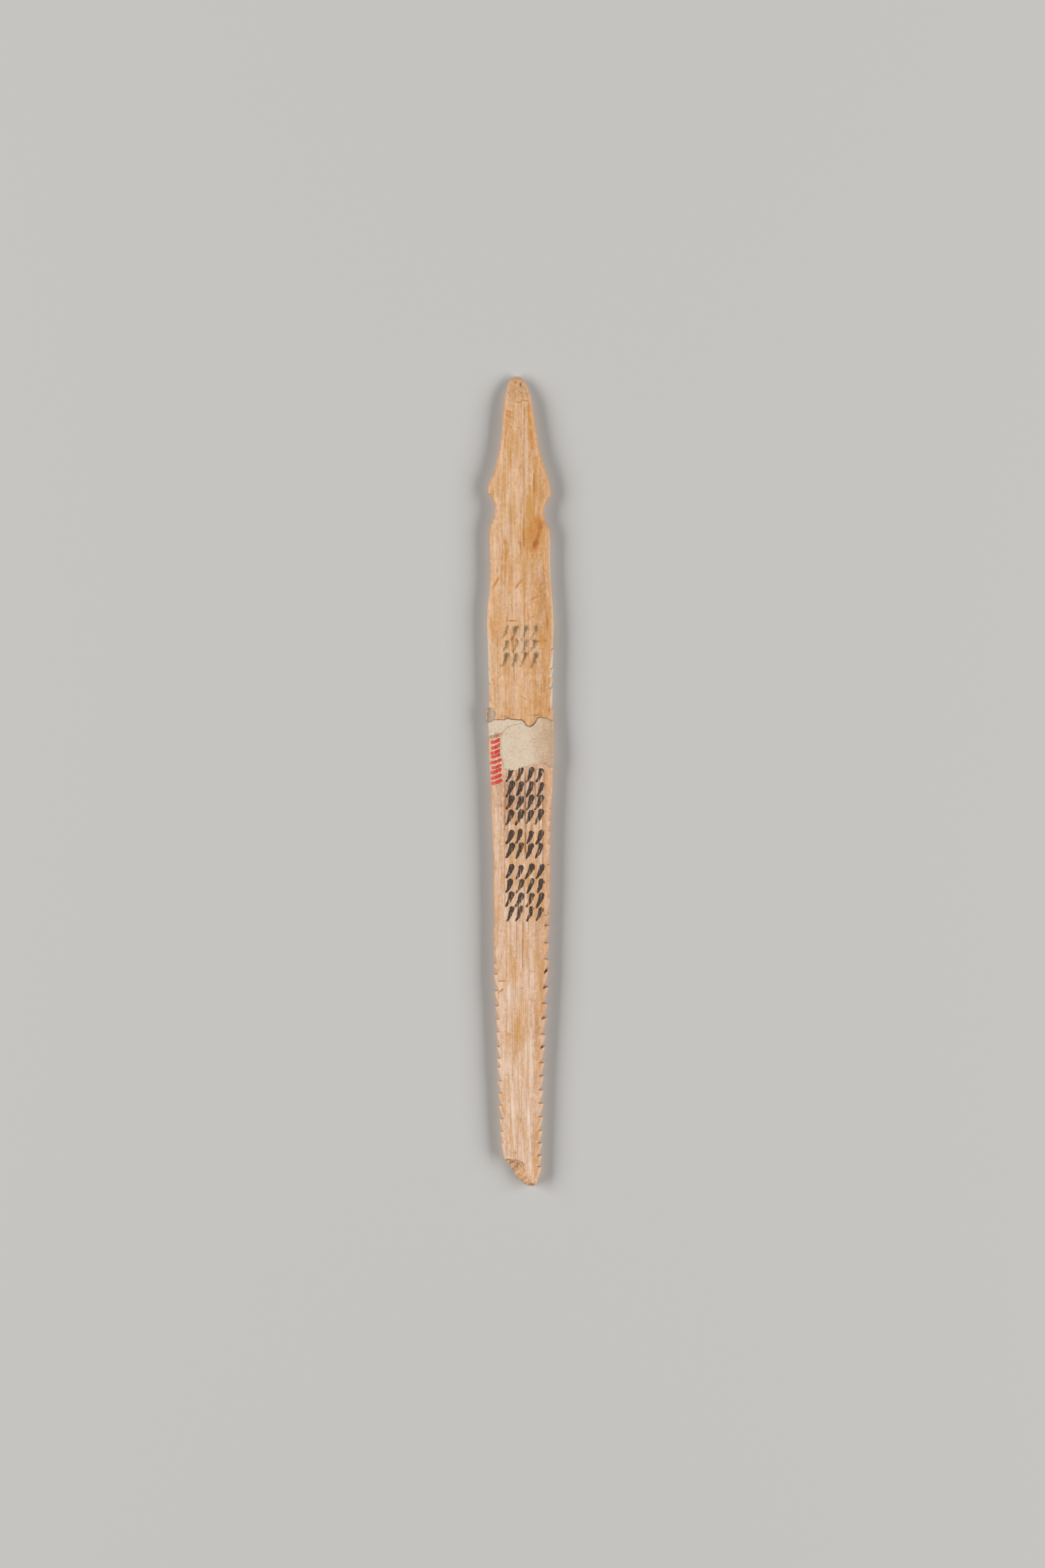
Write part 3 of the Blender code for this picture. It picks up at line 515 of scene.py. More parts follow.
def mask(tree, *factors):
    """Product of numbers, values, stored layers and ramps.

    A ramp is (value, low, high). It goes smoothly from 0 to 1, or between two more numbers, as its
    value goes from low to high. The value may be a list of terms to sum.
    """
    result = None
    for factor in factors:
        if isinstance(factor, tuple):
            value, low, high, start, end = (*factor, 0.0, 1.0)[:5]
            if isinstance(value, list):
                value = total(tree, *value)
            ramp = {"Value": value, "From Min": low, "From Max": high, "To Min": start, "To Max": end}
            factor = add(tree, "ShaderNodeMapRange", ramp, interpolation_type="SMOOTHSTEP")
        if result is not None:
            factor = add(tree, "ShaderNodeMath", {0: result, 1: factor}, operation="MULTIPLY")
        result = factor
    return result


# Measuring the surface: each of these takes its points as rows of (x, y, z) in millimetres.


def line_distance(points, line):
    """Distance in the plane from each point to a line, and the share of the line that is behind."""
    nearest, share = np.full(len(points), np.inf), np.zeros(len(points))
    for k in range(len(line) - 1):
        start, end = np.array(line[k]), np.array(line[k + 1])
        way = end - start
        t = np.clip((points[:, :2] - start) @ way / (way @ way), 0.0, 1.0)
        distance = np.hypot(*(points[:, :2] - start - t[:, None] * way).T)
        closer = distance < nearest
        nearest[closer] = distance[closer]
        share[closer] = (k + t[closer]) / (len(line) - 1)
    return nearest, share


def near(points, line, reach):
    """Indices of the points within the line's box, widened by reach."""
    low, high = np.min(line, axis=0) - reach, np.max(line, axis=0) + reach
    inside = (points[:, :2] > low) & (points[:, :2] < high)
    return np.flatnonzero(inside.all(axis=1))


def wandering(start, end, amount, seed, steps=24):
    """A line from start to end that strays sideways as a vessel does."""
    line = []
    for t in np.linspace(0.0, 1.0, steps + 1):
        y = start[1] + (end[1] - start[1]) * t
        stray = math.sin(y / 2.3 + seed) + 0.6 * math.sin(y / 0.9 + seed * 1.7)
        line.append((start[0] + (end[0] - start[0]) * t + amount * stray, y))
    return line


def carve(points, lines):
    """Depth of V-shaped grooves along (line, width, depth), which run out at both ends."""
    depths = np.zeros(len(points))
    for line, width, depth in lines:
        at = near(points, line, width * 2)
        distance, share = line_distance(points[at], line)
        profile = np.exp(-((distance / (width * 0.5)) ** 2))
        run_out = np.minimum(1.0, np.minimum(share, 1.0 - share) * 6.0 + 0.25)
        depths[at] = np.maximum(depths[at], depth * profile * run_out)
    return depths


def patches(points, spots, edge=1.0):
    """Strongest of soft-edged ovals at each point. A higher edge gives them a flatter middle."""
    values = np.zeros(len(points))
    for x, y, across, along, turn, strength in spots:
        angle = math.radians(turn)
        dx, dy = points[:, 0] - x, points[:, 1] - y
        u = (dx * math.cos(angle) + dy * math.sin(angle)) / across
        v = (dy * math.cos(angle) - dx * math.sin(angle)) / along
        values = np.maximum(values, strength * np.exp(-((u * u + v * v) ** edge)))
    return values


def brushed(points, strokes):
    """How far inside a brush stroke each point lies, in millimetres; negative outside them all."""
    inside = np.full(len(points), -1.0)
    for start, end, bow, wide, narrow in strokes:
        way = np.subtract(end, start)
        aside = np.array((-way[1], way[0])) / np.hypot(*way)
        line = [start + way * t + aside * bow * 4 * t * (1 - t) for t in np.linspace(0, 1, 7)]
        at = near(points, line, 1.0)
        distance, share = line_distance(points[at], line)
        half = (wide + (narrow - wide) * share) / 2
        inside[at] = np.maximum(inside[at], half - distance)
    return inside


def faint_grooves(box, seed):
    """Fine grooves in lines along the grain, scattered over a piece."""
    count, most_width, most_depth = FAINT_GROOVES
    rng = np.random.default_rng(seed)
    low, high = [corner / MM for corner in box]
    lines = []
    for k in range(count):
        x, y = rng.uniform(low.x + 0.6, high.x - 0.6), rng.uniform(low.y, high.y)
        run, size = rng.uniform(4.0, 18.0), rng.uniform(0.5, 1.0)
        line = wandering((x, y + run / 2), (x + rng.uniform(-0.1, 0.1), y - run / 2), 0.02, k)
        lines.append((line, most_width * size, most_depth * rng.uniform(0.4, 1.0)))
    return lines


def pores(low, high, count, size, depth, seed):
    """Small pits scattered between two corners."""
    rng = np.random.default_rng(seed)
    spots = []
    for x, y in rng.uniform(low, high, (count, 2)):
        across, along = size * rng.uniform(0.5, 1.0, 2)
        along, turn = along * rng.uniform(1.0, 2.0), rng.uniform(-30, 30)
        spots.append((x, y, across, along, turn, depth * rng.uniform(0.4, 1.0)))
    return spots


def nicks(rows, seed):
    """Small chips one under another down an edge."""
    rng = np.random.default_rng(seed)
    spots = []
    for start, end, count, (across, along), depth in rows:
        for x, y in np.linspace(start, end, count):
            wide, tall, deep = rng.uniform(0.6, 1.1, 3)
            spots.append((x, y + rng.uniform(-0.1, 0.1), across * wide, along * tall, 0, depth * deep))
    return spots


def scratches(rows):
    """Slanting rows of short tool scratches."""
    lines = []
    for (x, y), count, step, rise in rows:
        for k in range(count):
            start = (x + 0.12 * (k % 3), y - k * step)
            reach = SCRATCH["length"] * (0.7 + 0.3 * math.sin(2.1 * k))
            end = (start[0] + reach, start[1] + reach * rise)
            lines.append(([start, end], SCRATCH["width"], SCRATCH["depth"]))
    return lines


def stroke_rows(groups, across, tool, seed):
    """Rows of slanting strokes at the given places across: start, end, bow and two widths of each.
    A tool is the length, width and lean of its strokes, and how far they taper."""
    rng = np.random.default_rng(seed)
    long, wide, lean, taper = tool[0] / MM, tool[1] / MM, *tool[2:]
    strokes = []
    for first, last, rows in groups:
        for y in np.linspace(first, last, rows):
            for x in across:
                middle = np.array((x, y)) + rng.uniform(-0.14, 0.14, 2)
                tilt = lean + rng.uniform(-0.08, 0.08)
                reach = long * rng.uniform(0.42, 0.54) * np.array((math.sin(tilt), math.cos(tilt)))
                start = wide * rng.uniform(0.8, 1.05)
                strokes.append((middle + reach, middle - reach, 0.05 * long, start, start * taper))
    return strokes


def plane_distance(points, others):
    """Distance in the plane from each point to the nearest of some others, up to FAR."""
    tree = KDTree(len(others))
    for k, (x, y) in enumerate(others[:, :2]):
        tree.insert((x, y, 0.0), k)
    tree.balance()
    return np.array([min(tree.find((x, y, 0.0))[2], FAR) for x, y in points[:, :2]])


def wall_distance(points, normals, sideways=0.0, lengthways=0.0):
    """Distance to the nearest wall that faces at least so far sideways and lengthways."""
    flat = np.abs(normals)
    walls = (flat[:, 2] < WALL_TILT) & (flat[:, 0] >= sideways) & (flat[:, 1] >= lengthways)
    return plane_distance(points, points[walls])


def steepness(normals):
    """1 on the sides of a piece, 0 on its face and underside."""
    return np.interp(np.abs(normals[:, 2]), WALL_SLOPE[::-1], (1.0, 0.0))


# Meshes.


def even_copy(node, name, cell, stretch=1.0):
    """A new object with a CAD node's shape, cut into even cells that are finer across the grain."""
    bm = bmesh.new()
    bm.from_mesh(frame["nodes"][node].data)
    bmesh.ops.remove_doubles(bm, verts=bm.verts, dist=SAME_POINT * MM)
    bmesh.ops.scale(bm, vec=(stretch, 1.0, 1.0), verts=bm.verts)
    mesh = bpy.data.meshes.new(name)
    bm.to_mesh(mesh)
    bm.free()
    piece = bpy.data.objects.new(name, mesh)
    bpy.context.scene.collection.objects.link(piece)
    remesh(piece, cell)
    points = points_of(piece.data)
    points[:, 0] /= stretch
    set_points(piece.data, points)
    return piece


def remesh(piece, cell):
    """Makes a piece of even cells, and one solid of what overlaps in it, without stray crumbs."""
    modify(piece, "REMESH", mode="VOXEL", voxel_size=cell * MM)
    bm = bmesh.new()
    bm.from_mesh(piece.data)
    parts, unseen = [], set(bm.verts)
    while unseen:
        part, fringe = set(), {unseen.pop()}
        while fringe:
            part |= fringe
            fringe = {edge.other_vert(vert) for vert in fringe for edge in vert.link_edges} - part
        unseen -= part
        parts.append(part)
    crumbs = set(bm.verts) - max(parts, key=len)
    bmesh.ops.delete(bm, geom=list(crumbs), context="VERTS")
    bm.to_mesh(piece.data)
    bm.free()


def modify(piece, kind, part=None, **settings):
    """Runs one modifier on a piece, or only on the vertices where part is true."""
    modifier = piece.modifiers.new(kind.lower(), kind)
    for name, value in settings.items():
        setattr(modifier, name, value)
    if part is not None:
        group = piece.vertex_groups.new(name="part")
        group.add(np.flatnonzero(part).tolist(), 1.0, "REPLACE")
        modifier.vertex_group = group.name
    settle(piece)
    piece.vertex_groups.clear()


def settle(piece):
    """Turns what the piece's modifiers make into its mesh."""
    graph = bpy.context.evaluated_depsgraph_get()
    mesh = bpy.data.meshes.new_from_object(piece.evaluated_get(graph))
    if not mesh.polygons:
        raise RuntimeError(f"{piece.name} came out empty")
    piece.modifiers.clear()
    old_mesh, piece.data = piece.data, mesh
    bpy.data.meshes.remove(old_mesh)
    mesh.name = piece.name


def points_of(mesh, kind="co"):
    values = np.empty(len(mesh.vertices) * 3)
    mesh.vertices.foreach_get(kind, values)
    return values.reshape(-1, 3) * (1 / MM if kind == "co" else 1.0)


def set_points(mesh, points):
    mesh.vertices.foreach_set("co", (points * MM).ravel())
    mesh.update()


def store(mesh, layers):
    """Stores named values on a mesh, one for each of its points."""
    for name, values in layers.items():
        layer = mesh.attributes.new(name, "FLOAT", "POINT")
        layer.data.foreach_set("value", np.asarray(values, np.float32))


def thin_underside(piece):
    """Takes triangles off the flat underside when the piece has more than MOST_TRIANGLES, aiming at that
    many.
    """
    piece.data.calc_loop_triangles()
    share = MOST_TRIANGLES / len(piece.data.loop_triangles)
    if share < 1.0:
        modify(piece, "DECIMATE", points_of(piece.data)[:, 2] < UNDERSIDE, ratio=share)
        points = points_of(piece.data)
        points[:, 2] = np.maximum(points[:, 2], 0.0)
        set_points(piece.data, points)


def new_tree(name, *inputs):
    """A geometry node tree with a geometry, a material, the named number inputs and a seed."""
    tree = bpy.data.node_groups.new(name, "GeometryNodeTree")
    kinds = {"Geometry": "NodeSocketGeometry", "Material": "NodeSocketMaterial", "Seed": "NodeSocketInt"}
    tree.interface.new_socket(name="Geometry", in_out="OUTPUT", socket_type=kinds["Geometry"])
    for label in ("Geometry", "Material", *inputs, "Seed"):
        kind = kinds.get(label, "NodeSocketFloat")
        tree.interface.new_socket(name=label, in_out="INPUT", socket_type=kind)
    return tree, tree.nodes.new("NodeGroupInput").outputs


def pushed_in(tree, given, normal, depth):
    """The tree's geometry, pushed in along its normals."""
    inwards = total(tree, (depth, -1.0))
    offset = add(tree, "ShaderNodeVectorMath", {0: normal, "Scale": inwards}, operation="SCALE")
    return add(tree, "GeometryNodeSetPosition", {"Geometry": given["Geometry"], "Offset": offset})


def close_tree(tree, geometry, given):
    """Ends a tree with its instances made real and its material set."""
    real = add(tree, "GeometryNodeRealizeInstances", {0: geometry})
    painted = add(tree, "GeometryNodeSetMaterial", {"Geometry": real, "Material": given["Material"]})
    add(tree, "NodeGroupOutput", {0: painted})
    return tree


def run_tree(piece, tree, material, look):
    """Runs a tree on a piece and keeps what it makes. Its inputs are named as the look's settings."""
    modifier = piece.modifiers.new(tree.name, "NODES")
    modifier.node_group = tree
    for socket in tree.interface.items_tree:
        if socket.name == "Material":
            modifier[socket.identifier] = material
        elif socket.name != "Geometry":
            modifier[socket.identifier] = getattr(look, socket.name.lower().replace(" ", "_"))
    settle(piece)
    piece.data.shade_smooth()


def grain_noise(tree, position, width, reach, seed, detail=2.0):
    """Noise with streaks about width across and reach times as long, whichever way the face looks."""
    per_cell = add(tree, "ShaderNodeMath", {0: 1.0, 1: width}, operation="DIVIDE")
    along = add(tree, "ShaderNodeMath", {0: per_cell, 1: reach}, operation="DIVIDE")
    scale = add(tree, "ShaderNodeCombineXYZ", {"X": per_cell, "Y": along, "Z": per_cell})
    place = add(tree, "ShaderNodeVectorMath", {0: position, 1: scale}, operation="MULTIPLY")
    noise = {"Vector": place, "W": seed, "Scale": 1.0, "Detail": detail}
    return add(tree, "ShaderNodeTexNoise", noise, noise_dimensions="4D")


def bone_relief():
    """Carves grain, vessel grooves and pores into bone. Nothing is ever raised above the solid."""
    sizes = ("Flute width", "Flute depth", "Fibre width", "Fibre depth", "Pore size", "Pore depth")
    tree, given = new_tree("bone_relief", *sizes)
    position = add(tree, "GeometryNodeInputPosition")
    normal = add(tree, "GeometryNodeInputNormal")
    facing = add(tree, "ShaderNodeSeparateXYZ", {0: normal}).outputs["Z"]
    upward = add(tree, "ShaderNodeMapRange", {"Value": facing, "From Min": 0.1, "From Max": 0.6})

    flutes = grain_noise(tree, position, given["Flute width"], 12.0, given["Seed"])
    fibres = grain_noise(tree, position, given["Fibre width"], 30.0, given["Seed"], 1.0)
    fibre = mask(tree, "fibrous", (fibres, 0.36, 0.62, 1, 0), given["Fibre depth"])
    per_pore = add(tree, "ShaderNodeMath", {0: 1.0, 1: given["Pore size"]}, operation="DIVIDE")
    crumbs = add(tree, "ShaderNodeTexVoronoi", {0: position, "Scale": per_pore}, feature="SMOOTH_F1")
    pore = mask(tree, "spongy", (crumbs, 0.1, 0.55, 1, 0), given["Pore depth"])

    cut = total(tree, (flutes, given["Flute depth"]), (fibre, 1.0), ("carved", MM))
    moved = pushed_in(tree, given, normal, total(tree, (cut, upward), (pore, 1.0)))
    hollow = total(tree, (fibre, 1 / MM), (pore, 1 / MM))
    kept = add(
        tree, "GeometryNodeStoreNamedAttribute", {"Geometry": moved, "Name": "hollow", "Value": hollow},
        data_type="FLOAT", domain="POINT",
    )
    return close_tree(tree, kept, given)


def plaster_relief():
    """Pits and waves in smoothed plaster, with grains of sand that stand a little out of it."""
    sizes = ("Pit width", "Pit depth", "Wave width", "Wave depth", "Sand size", "Sand spacing")
    tree, given = new_tree("plaster_relief", *sizes)
    position = add(tree, "GeometryNodeInputPosition")
    normal = add(tree, "GeometryNodeInputNormal")
    facing = add(tree, "ShaderNodeSeparateXYZ", {0: normal}).outputs["Z"]
    upward = add(tree, "ShaderNodeMath", {0: facing, 1: 0.6}, operation="GREATER_THAN")

    waves = grain_noise(tree, position, given["Wave width"], 1.0, given["Seed"])
    pits = grain_noise(tree, position, given["Pit width"], 1.0, given["Seed"], 3.0)
    pit = mask(tree, (pits, 0.3, 0.55, 1, 0), given["Pit depth"])
    cut = total(tree, (waves, given["Wave depth"]), (pit, 1.0), ("groove", MM))
    moved = pushed_in(tree, given, normal, mask(tree, cut, upward))

    spots = add(
        tree, "GeometryNodeDistributePointsOnFaces",
        {"Mesh": moved, "Selection": upward, "Distance Min": given["Sand spacing"],
         "Density Max": 2.0e7, "Seed": given["Seed"]},
        distribute_method="POISSON",
    )
    grain = add(tree, "GeometryNodeMeshIcoSphere", {"Radius": given["Sand size"], "Subdivisions": 1})
    size = add(tree, "FunctionNodeRandomValue", {2: 0.45, 3: 1.0, "Seed": given["Seed"]}, data_type="FLOAT")
    sand = add(
        tree, "GeometryNodeInstanceOnPoints",
        {"Points": spots, "Instance": grain, "Rotation": spots.outputs["Rotation"],
         "Scale": size.outputs[1]},
    )
    marked = add(
        tree, "GeometryNodeStoreNamedAttribute", {"Geometry": sand, "Name": "sand", "Value": 1.0},
        data_type="FLOAT", domain="INSTANCE",
    )
    joined = add(tree, "GeometryNodeJoinGeometry")
    for part in (marked, moved):
        tree.links.new(part.outputs[0], joined.inputs[0])
    return close_tree(tree, joined, given)


# Materials. Patterns are worked out from sizes in millimetres, on object coordinates.


def new_material(name):
    made = bpy.data.materials.new(name)
    made.use_nodes = True
    made.node_tree.nodes.clear()
    return made, made.node_tree


def pattern(tree, coords, width, reach, seed=0.0, detail=2.0, roughness=0.5):
    """Noise of the given width in millimetres, reach times as long along the grain."""
    across, along = 1 / (width * MM), 1 / (width * reach * MM)
    shift, scale = (seed, seed * 1.7, seed * 0.6), (across, along, across)
    place = add(tree, "ShaderNodeMapping", {"Vector": coords, "Location": shift, "Scale": scale})
    noise = {"Vector": place, "Scale": 1.0, "Detail": detail, "Roughness": roughness}
    return add(tree, "ShaderNodeTexNoise", noise)


def layered(tree, base, layers):
    """Lays colours over base one after another, each where the mask of what follows it is 1."""
    base = (*base, 1.0)
    for over, *factors in layers:
        mix = {0: mask(tree, *factors), 6: base, 7: (*over, 1.0)}
        base = add(tree, "ShaderNodeMix", mix, data_type="RGBA").outputs[2]
    return base


def close_material(tree, inputs, height=None, depth=0.0, strength=1.0):
    """Ends a tree with its shader, and with a bump whose depth is in millimetres."""
    if height is not None:
        bump = {"Height": height, "Distance": depth * MM, "Strength": strength}
        inputs = {**inputs, "Normal": add(tree, "ShaderNodeBump", bump)}
    shader = add(tree, "ShaderNodeBsdfPrincipled", inputs)
    add(tree, "ShaderNodeOutputMaterial", {"Surface": shader})


def bone_material(name, look, marks, light, dark):
    """Old worked bone: satin streaks of every length, dirt in its vessels, orange and brown stains.

    Scraped smooth along the grain, it has a dull waxy gloss, and its open, broken parts have none.
    """
    made, tree = new_material(name)
    coords = add(tree, "ShaderNodeTexCoord").outputs["Object"]
    across = add(tree, "ShaderNodeSeparateXYZ", {0: coords}).outputs["X"]
    noise = partial(pattern, tree, coords)
    # Each noise: its width, reach and place, then how detailed and how rough it is.
    short, middle, long = noise(0.28, 1.7, 3), noise(0.32, 6, 11), noise(0.36, 28, 5, 1)
    band, mottle, hue = noise(0.9, 8, 8), noise(0.6, 1.4, 2, 3, 0.65), noise(1.5, 4.5, 6)
    lines, comb = noise(0.17, 55, 21, 1), noise(0.26, 9, 14, 2, 0.6)
    grit, speck = noise(0.16, 1, 1, 2, 0.7), noise(0.15, 2.4, 2, 1)
    holes = add(tree, "ShaderNodeTexVoronoi", {"Vector": coords, "Scale": 1 / (0.36 * MM)})
    side = mask(tree, (across, 1 * MM, 6.5 * MM))
    streaks = [
        (short, 0.16), (middle, 0.12), (long, 0.14), (band, 0.24), (mottle, 0.2), (grit, 0.1), (side, 0.08),
    ]
    # Ink sits on the ridges and misses the hollows, so a stroke is combed along the grain.
    inked = mask(
        tree, ([("ink", 1), (comb, 0.5), (grit, 0.16), ("groove", -1.2)], 0.29, 0.38),
        (comb, 0.3, 0.46, 0.35, 1), (grit, 0.3, 0.5, 0.75, 0.96),
    )
    painted = mask(tree, ([("red", 1), (grit, 0.14)], 0.05, 0.1))
    skin = layered(tree, light, [
        # The grain: streaks of several lengths, mottled, darker towards the right edge.
        (dark, (streaks, 0.38, 0.6)),
        (look.warm, (hue, 0.48, 0.62), 0.42),
        (look.pink, (hue, 0.48, 0.34), 0.45),
        (look.fibre, "fibrous", (lines, 0.5, 0.62), 0.44),
        (dark, "fibrous", (lines, 0.46, 0.34), 0.44),
        (look.fibre, ("fibre", 0.1, 0.8), ([(lines, 0.6), (comb, 0.4)], 0.34, 0.56), 0.85),
        # Stains.
        (look.rust, ("scratch", 0.003, 0.02), (mottle, 0.35, 0.6, 0.3, 1), 0.55),
        (look.amber, ([("amber", 1), (middle, 0.4), (mottle, 0.5), (band, 0.5)], 0.6, 1.5), 0.86),
        (look.rust, ([("rust", 1), (grit, 0.4), (middle, 0.4), (mottle, 0.5)], 0.7, 1.5), 0.95),
        (look.umber, ([("umber", 1), (middle, 0.4), (grit, 0.3), (mottle, 0.6)], 0.7, 1.6), 0.74),
        # Edges, teeth and broken places.
        # Painted shade in the roots of the teeth, in the umber colour.
        (look.umber, ("root", 0.3, 0.06), (comb, 0.3, 0.55), 0.3),
        # Painted shade on the steep sides of the blade, in the edge colour.
        (look.edge, "wall", (mottle, 0.3, 0.7, 0.6, 0.95), ("flank", 0.1, 0.5, 0.9, 1)),
        # Pale flanks of the teeth: partly wear, partly a painted highlight.
        (look.flank, ([("flank", 1), (grit, 0.4)], 0.6, 0.2), (mottle, 0.3, 0.6), 0.35),
        (look.sponge, "spongy", (grit, 0.3, 0.5, 0.75, 1)),
        (look.fibre, "spongy", ([(mottle, 0.5), (grit, 0.5)], 0.46, 0.6), 0.32),
        (look.umber, "spongy", ([("hollow", 4), (grit, 1.2)], 0.65, 0.95), 0.45),
        (look.groove, "spongy", (holes, 0.34, 0.16), (middle, 0.35, 0.6, 0.3, 0.65)),
        # Chalky edges, partly a painted highlight along the rims.
        (look.chalk, ([("chalk", 0.7), (short, 0.8), (grit, 0.6)], 0.95, 1.35),
         ([("rim", 1), (grit, 0.3)], 0.4, 0.12), 0.85),
        (look.chalk, ([("chip", 1), (grit, 1)], 0.8, 1.5), 0.55),
        # Dirt, ink and paint.
        (look.soil, ("groove", 0.006, 0.05), (middle, 0.35, 0.55, 0.5, 1), 0.65),
        (look.groove, ("groove", 0.04, 0.1), (comb, 0.25, 0.5, 0.5, 1), (middle, 0.35, 0.55, 0.5, 0.88)),
        (look.groove, (speck, 0.7, 0.78), (mottle, 0.45, 0.6), 0.35),
        (marks.faded, ([("faded", 0.7), (comb, 0.6), (grit, 0.5), (mottle, 0.7)], 0.8, 1.3), 0.8),
        (marks.ink, inked),
        (marks.red, painted, (middle, 0.3, 0.6, 0.82, 1)),
    ])
    rough = total(tree, (short, 0.2), ("spongy", 0.45), (inked, -0.08), (1.0, 0.45))
    height = total(tree, (middle, 0.3), (short, 0.3), (speck, -0.2), (grit, 0.25), (painted, 0.35))
    close_material(
        tree,
        {"Base Color": skin, "Roughness": rough, "IOR": 1.54, "Specular IOR Level": 0.35,
         "Subsurface Weight": 0.06, "Subsurface Radius": (1.0, 0.6, 0.35), "Subsurface Scale": 0.25 * MM},
        height, 0.035, 0.6,
    )
    return made


def plaster_material(look):
    """Gypsum filler toned to match the bone: chalky and dull, sandy, darker where it was handled."""
    made, tree = new_material("toned_plaster")
    coords = add(tree, "ShaderNodeTexCoord").outputs["Object"]
    across = add(tree, "ShaderNodeSeparateXYZ", {0: coords}).outputs["X"]
    noise = partial(pattern, tree, coords)
    cloud, mottle, grit = noise(3, 1.2, 4), noise(0.6, 1, 9), noise(0.26, 1, 2, 3, 0.7)
    bits, grains = [
        add(tree, "ShaderNodeTexVoronoi", {"Vector": coords, "Scale": 1 / (size * MM)})
        for size in (0.42, 0.2)
    ]
    chance, shade = [
        add(tree, "ShaderNodeSeparateXYZ", {0: cells.outputs["Color"]}).outputs["X"]
        for cells in (bits, grains)
    ]
    right = mask(tree, (across, 0.5 * MM, 7.5 * MM))
    sandy = total(tree, (shade, 0.4), (grit, 1))
    inner = mask(tree, (grains, 0.7, 0.3, 0.35, 1))
    skin = layered(tree, look.plaster_light, [
        (look.plaster_dark, ([(right, 0.6), (cloud, 0.8), (mottle, 0.5), (grit, 0.3)], 0.68, 1.5)),
        (look.plaster_light, (sandy, 0.74, 0.92), inner, 0.75),
        (look.plaster_dark, (sandy, 0.68, 0.5), inner, (right, 0, 1, 0.6, 0.7)),
        # The steep sides of the plaster are coloured darker, in the sand colour.
        (look.sand, "wall", (mottle, 0.3, 0.7, 0.35, 0.6)),
        (look.sand, (bits, 0.3, 0.12), (chance, 0.5, 0.7), (right, 0, 1, 0.25, 0.6)),
        (look.sand, "sand", 0.4),
        (look.sand, ("groove", 0.015, 0.08), 0.75),
        # Partly dirt, partly a painted shadow under the upper length's broken edge.
        (look.joint, ([("joint", 1), (grit, 0.15), (mottle, 0.15)], 0.24, 0.12), 0.5),
    ])
    height = total(tree, (grit, 0.4), (mottle, 0.5), (grains, 0.4))
    close_material(
        tree, {"Base Color": skin, "Roughness": 0.9, "Specular IOR Level": 0.2}, height, 0.04, 0.7,
    )
    return made


def glue_material(look):
    """Dried animal glue: a grey, cloudy resin with a soft gloss, and dust caught in it."""
    made, tree = new_material("dried_glue")
    coords = add(tree, "ShaderNodeTexCoord").outputs["Object"]
    cloud = pattern(tree, coords, 0.5, 1, 3)
    dust = pattern(tree, coords, 0.12, 1, 6, 2, 0.7)
    pale = [min(1.0, 1.3 * c) for c in look.glue_drop]
    dark = [0.6 * c for c in look.glue_drop]
    skin = layered(tree, look.glue_drop, [
        (look.glue_film, ([("thin", 1), (cloud, 0.5)], 0.3, 1)),
        (pale, (cloud, 0.45, 0.65), 0.4),
        (dark, (dust, 0.5, 0.66), 0.45),
        # Painted shade in a ring round the bubble, and a painted highlight in its middle.
        (dark, ("bubble", 0.1, 0.45), 0.5),
        (pale, ("bubble", 0.45, 0.8), 0.6),
    ])
    close_material(
        tree,
        {"Base Color": skin, "Roughness": 0.42, "IOR": 1.52, "Specular IOR Level": 0.4,
         "Subsurface Weight": 0.15, "Subsurface Scale": 0.4 * MM},
        dust, 0.02, 0.4,
    )
    return made


# Pieces.


def spongy_part(points, normals, foot):
    """1 on bone that is broken or worn open: the foot's break, the head's end, the fractures."""
    if foot:
        below = np.interp(points[:, 0], *np.array(FOOT_EDGE).T) - points[:, 1]
        open_bone = np.clip(below / FOOT_BLEND + 0.5, 0.0, 1.0)
    else:
        edge = TIP_EDGE + TIP_WAVE * np.sin(points[:, 0] * TIP_WAVES)
        open_bone = TIP_SHARE * np.clip((points[:, 1] - edge) / TIP_BLEND, 0.0, 1.0)
    in_mend = (points[:, 1] > MEND_SPAN[0]) & (points[:, 1] < MEND_SPAN[1])
    inside = np.abs(points[:, 0]) < FRACTURE_REACH
    return np.maximum(open_bone, in_mend & inside & (np.abs(normals[:, 2]) < FRACTURE_TILT))


def fibrous_part(points, foot):
    """How fibrous the face is: most of all down the middle of the lower length."""
    if not foot:
        return np.full(len(points), UPPER_FIBROUS)
    half = np.interp(points[:, 1], *FIBROUS_HALF)
    middle = np.clip((half - np.abs(points[:, 0] - FIBROUS_CENTRE)) / FIBROUS_BLEND, 0.0, 1.0)
    return LOWER_FIBROUS + np.interp(points[:, 1], *FIBROUS_MORE) * middle


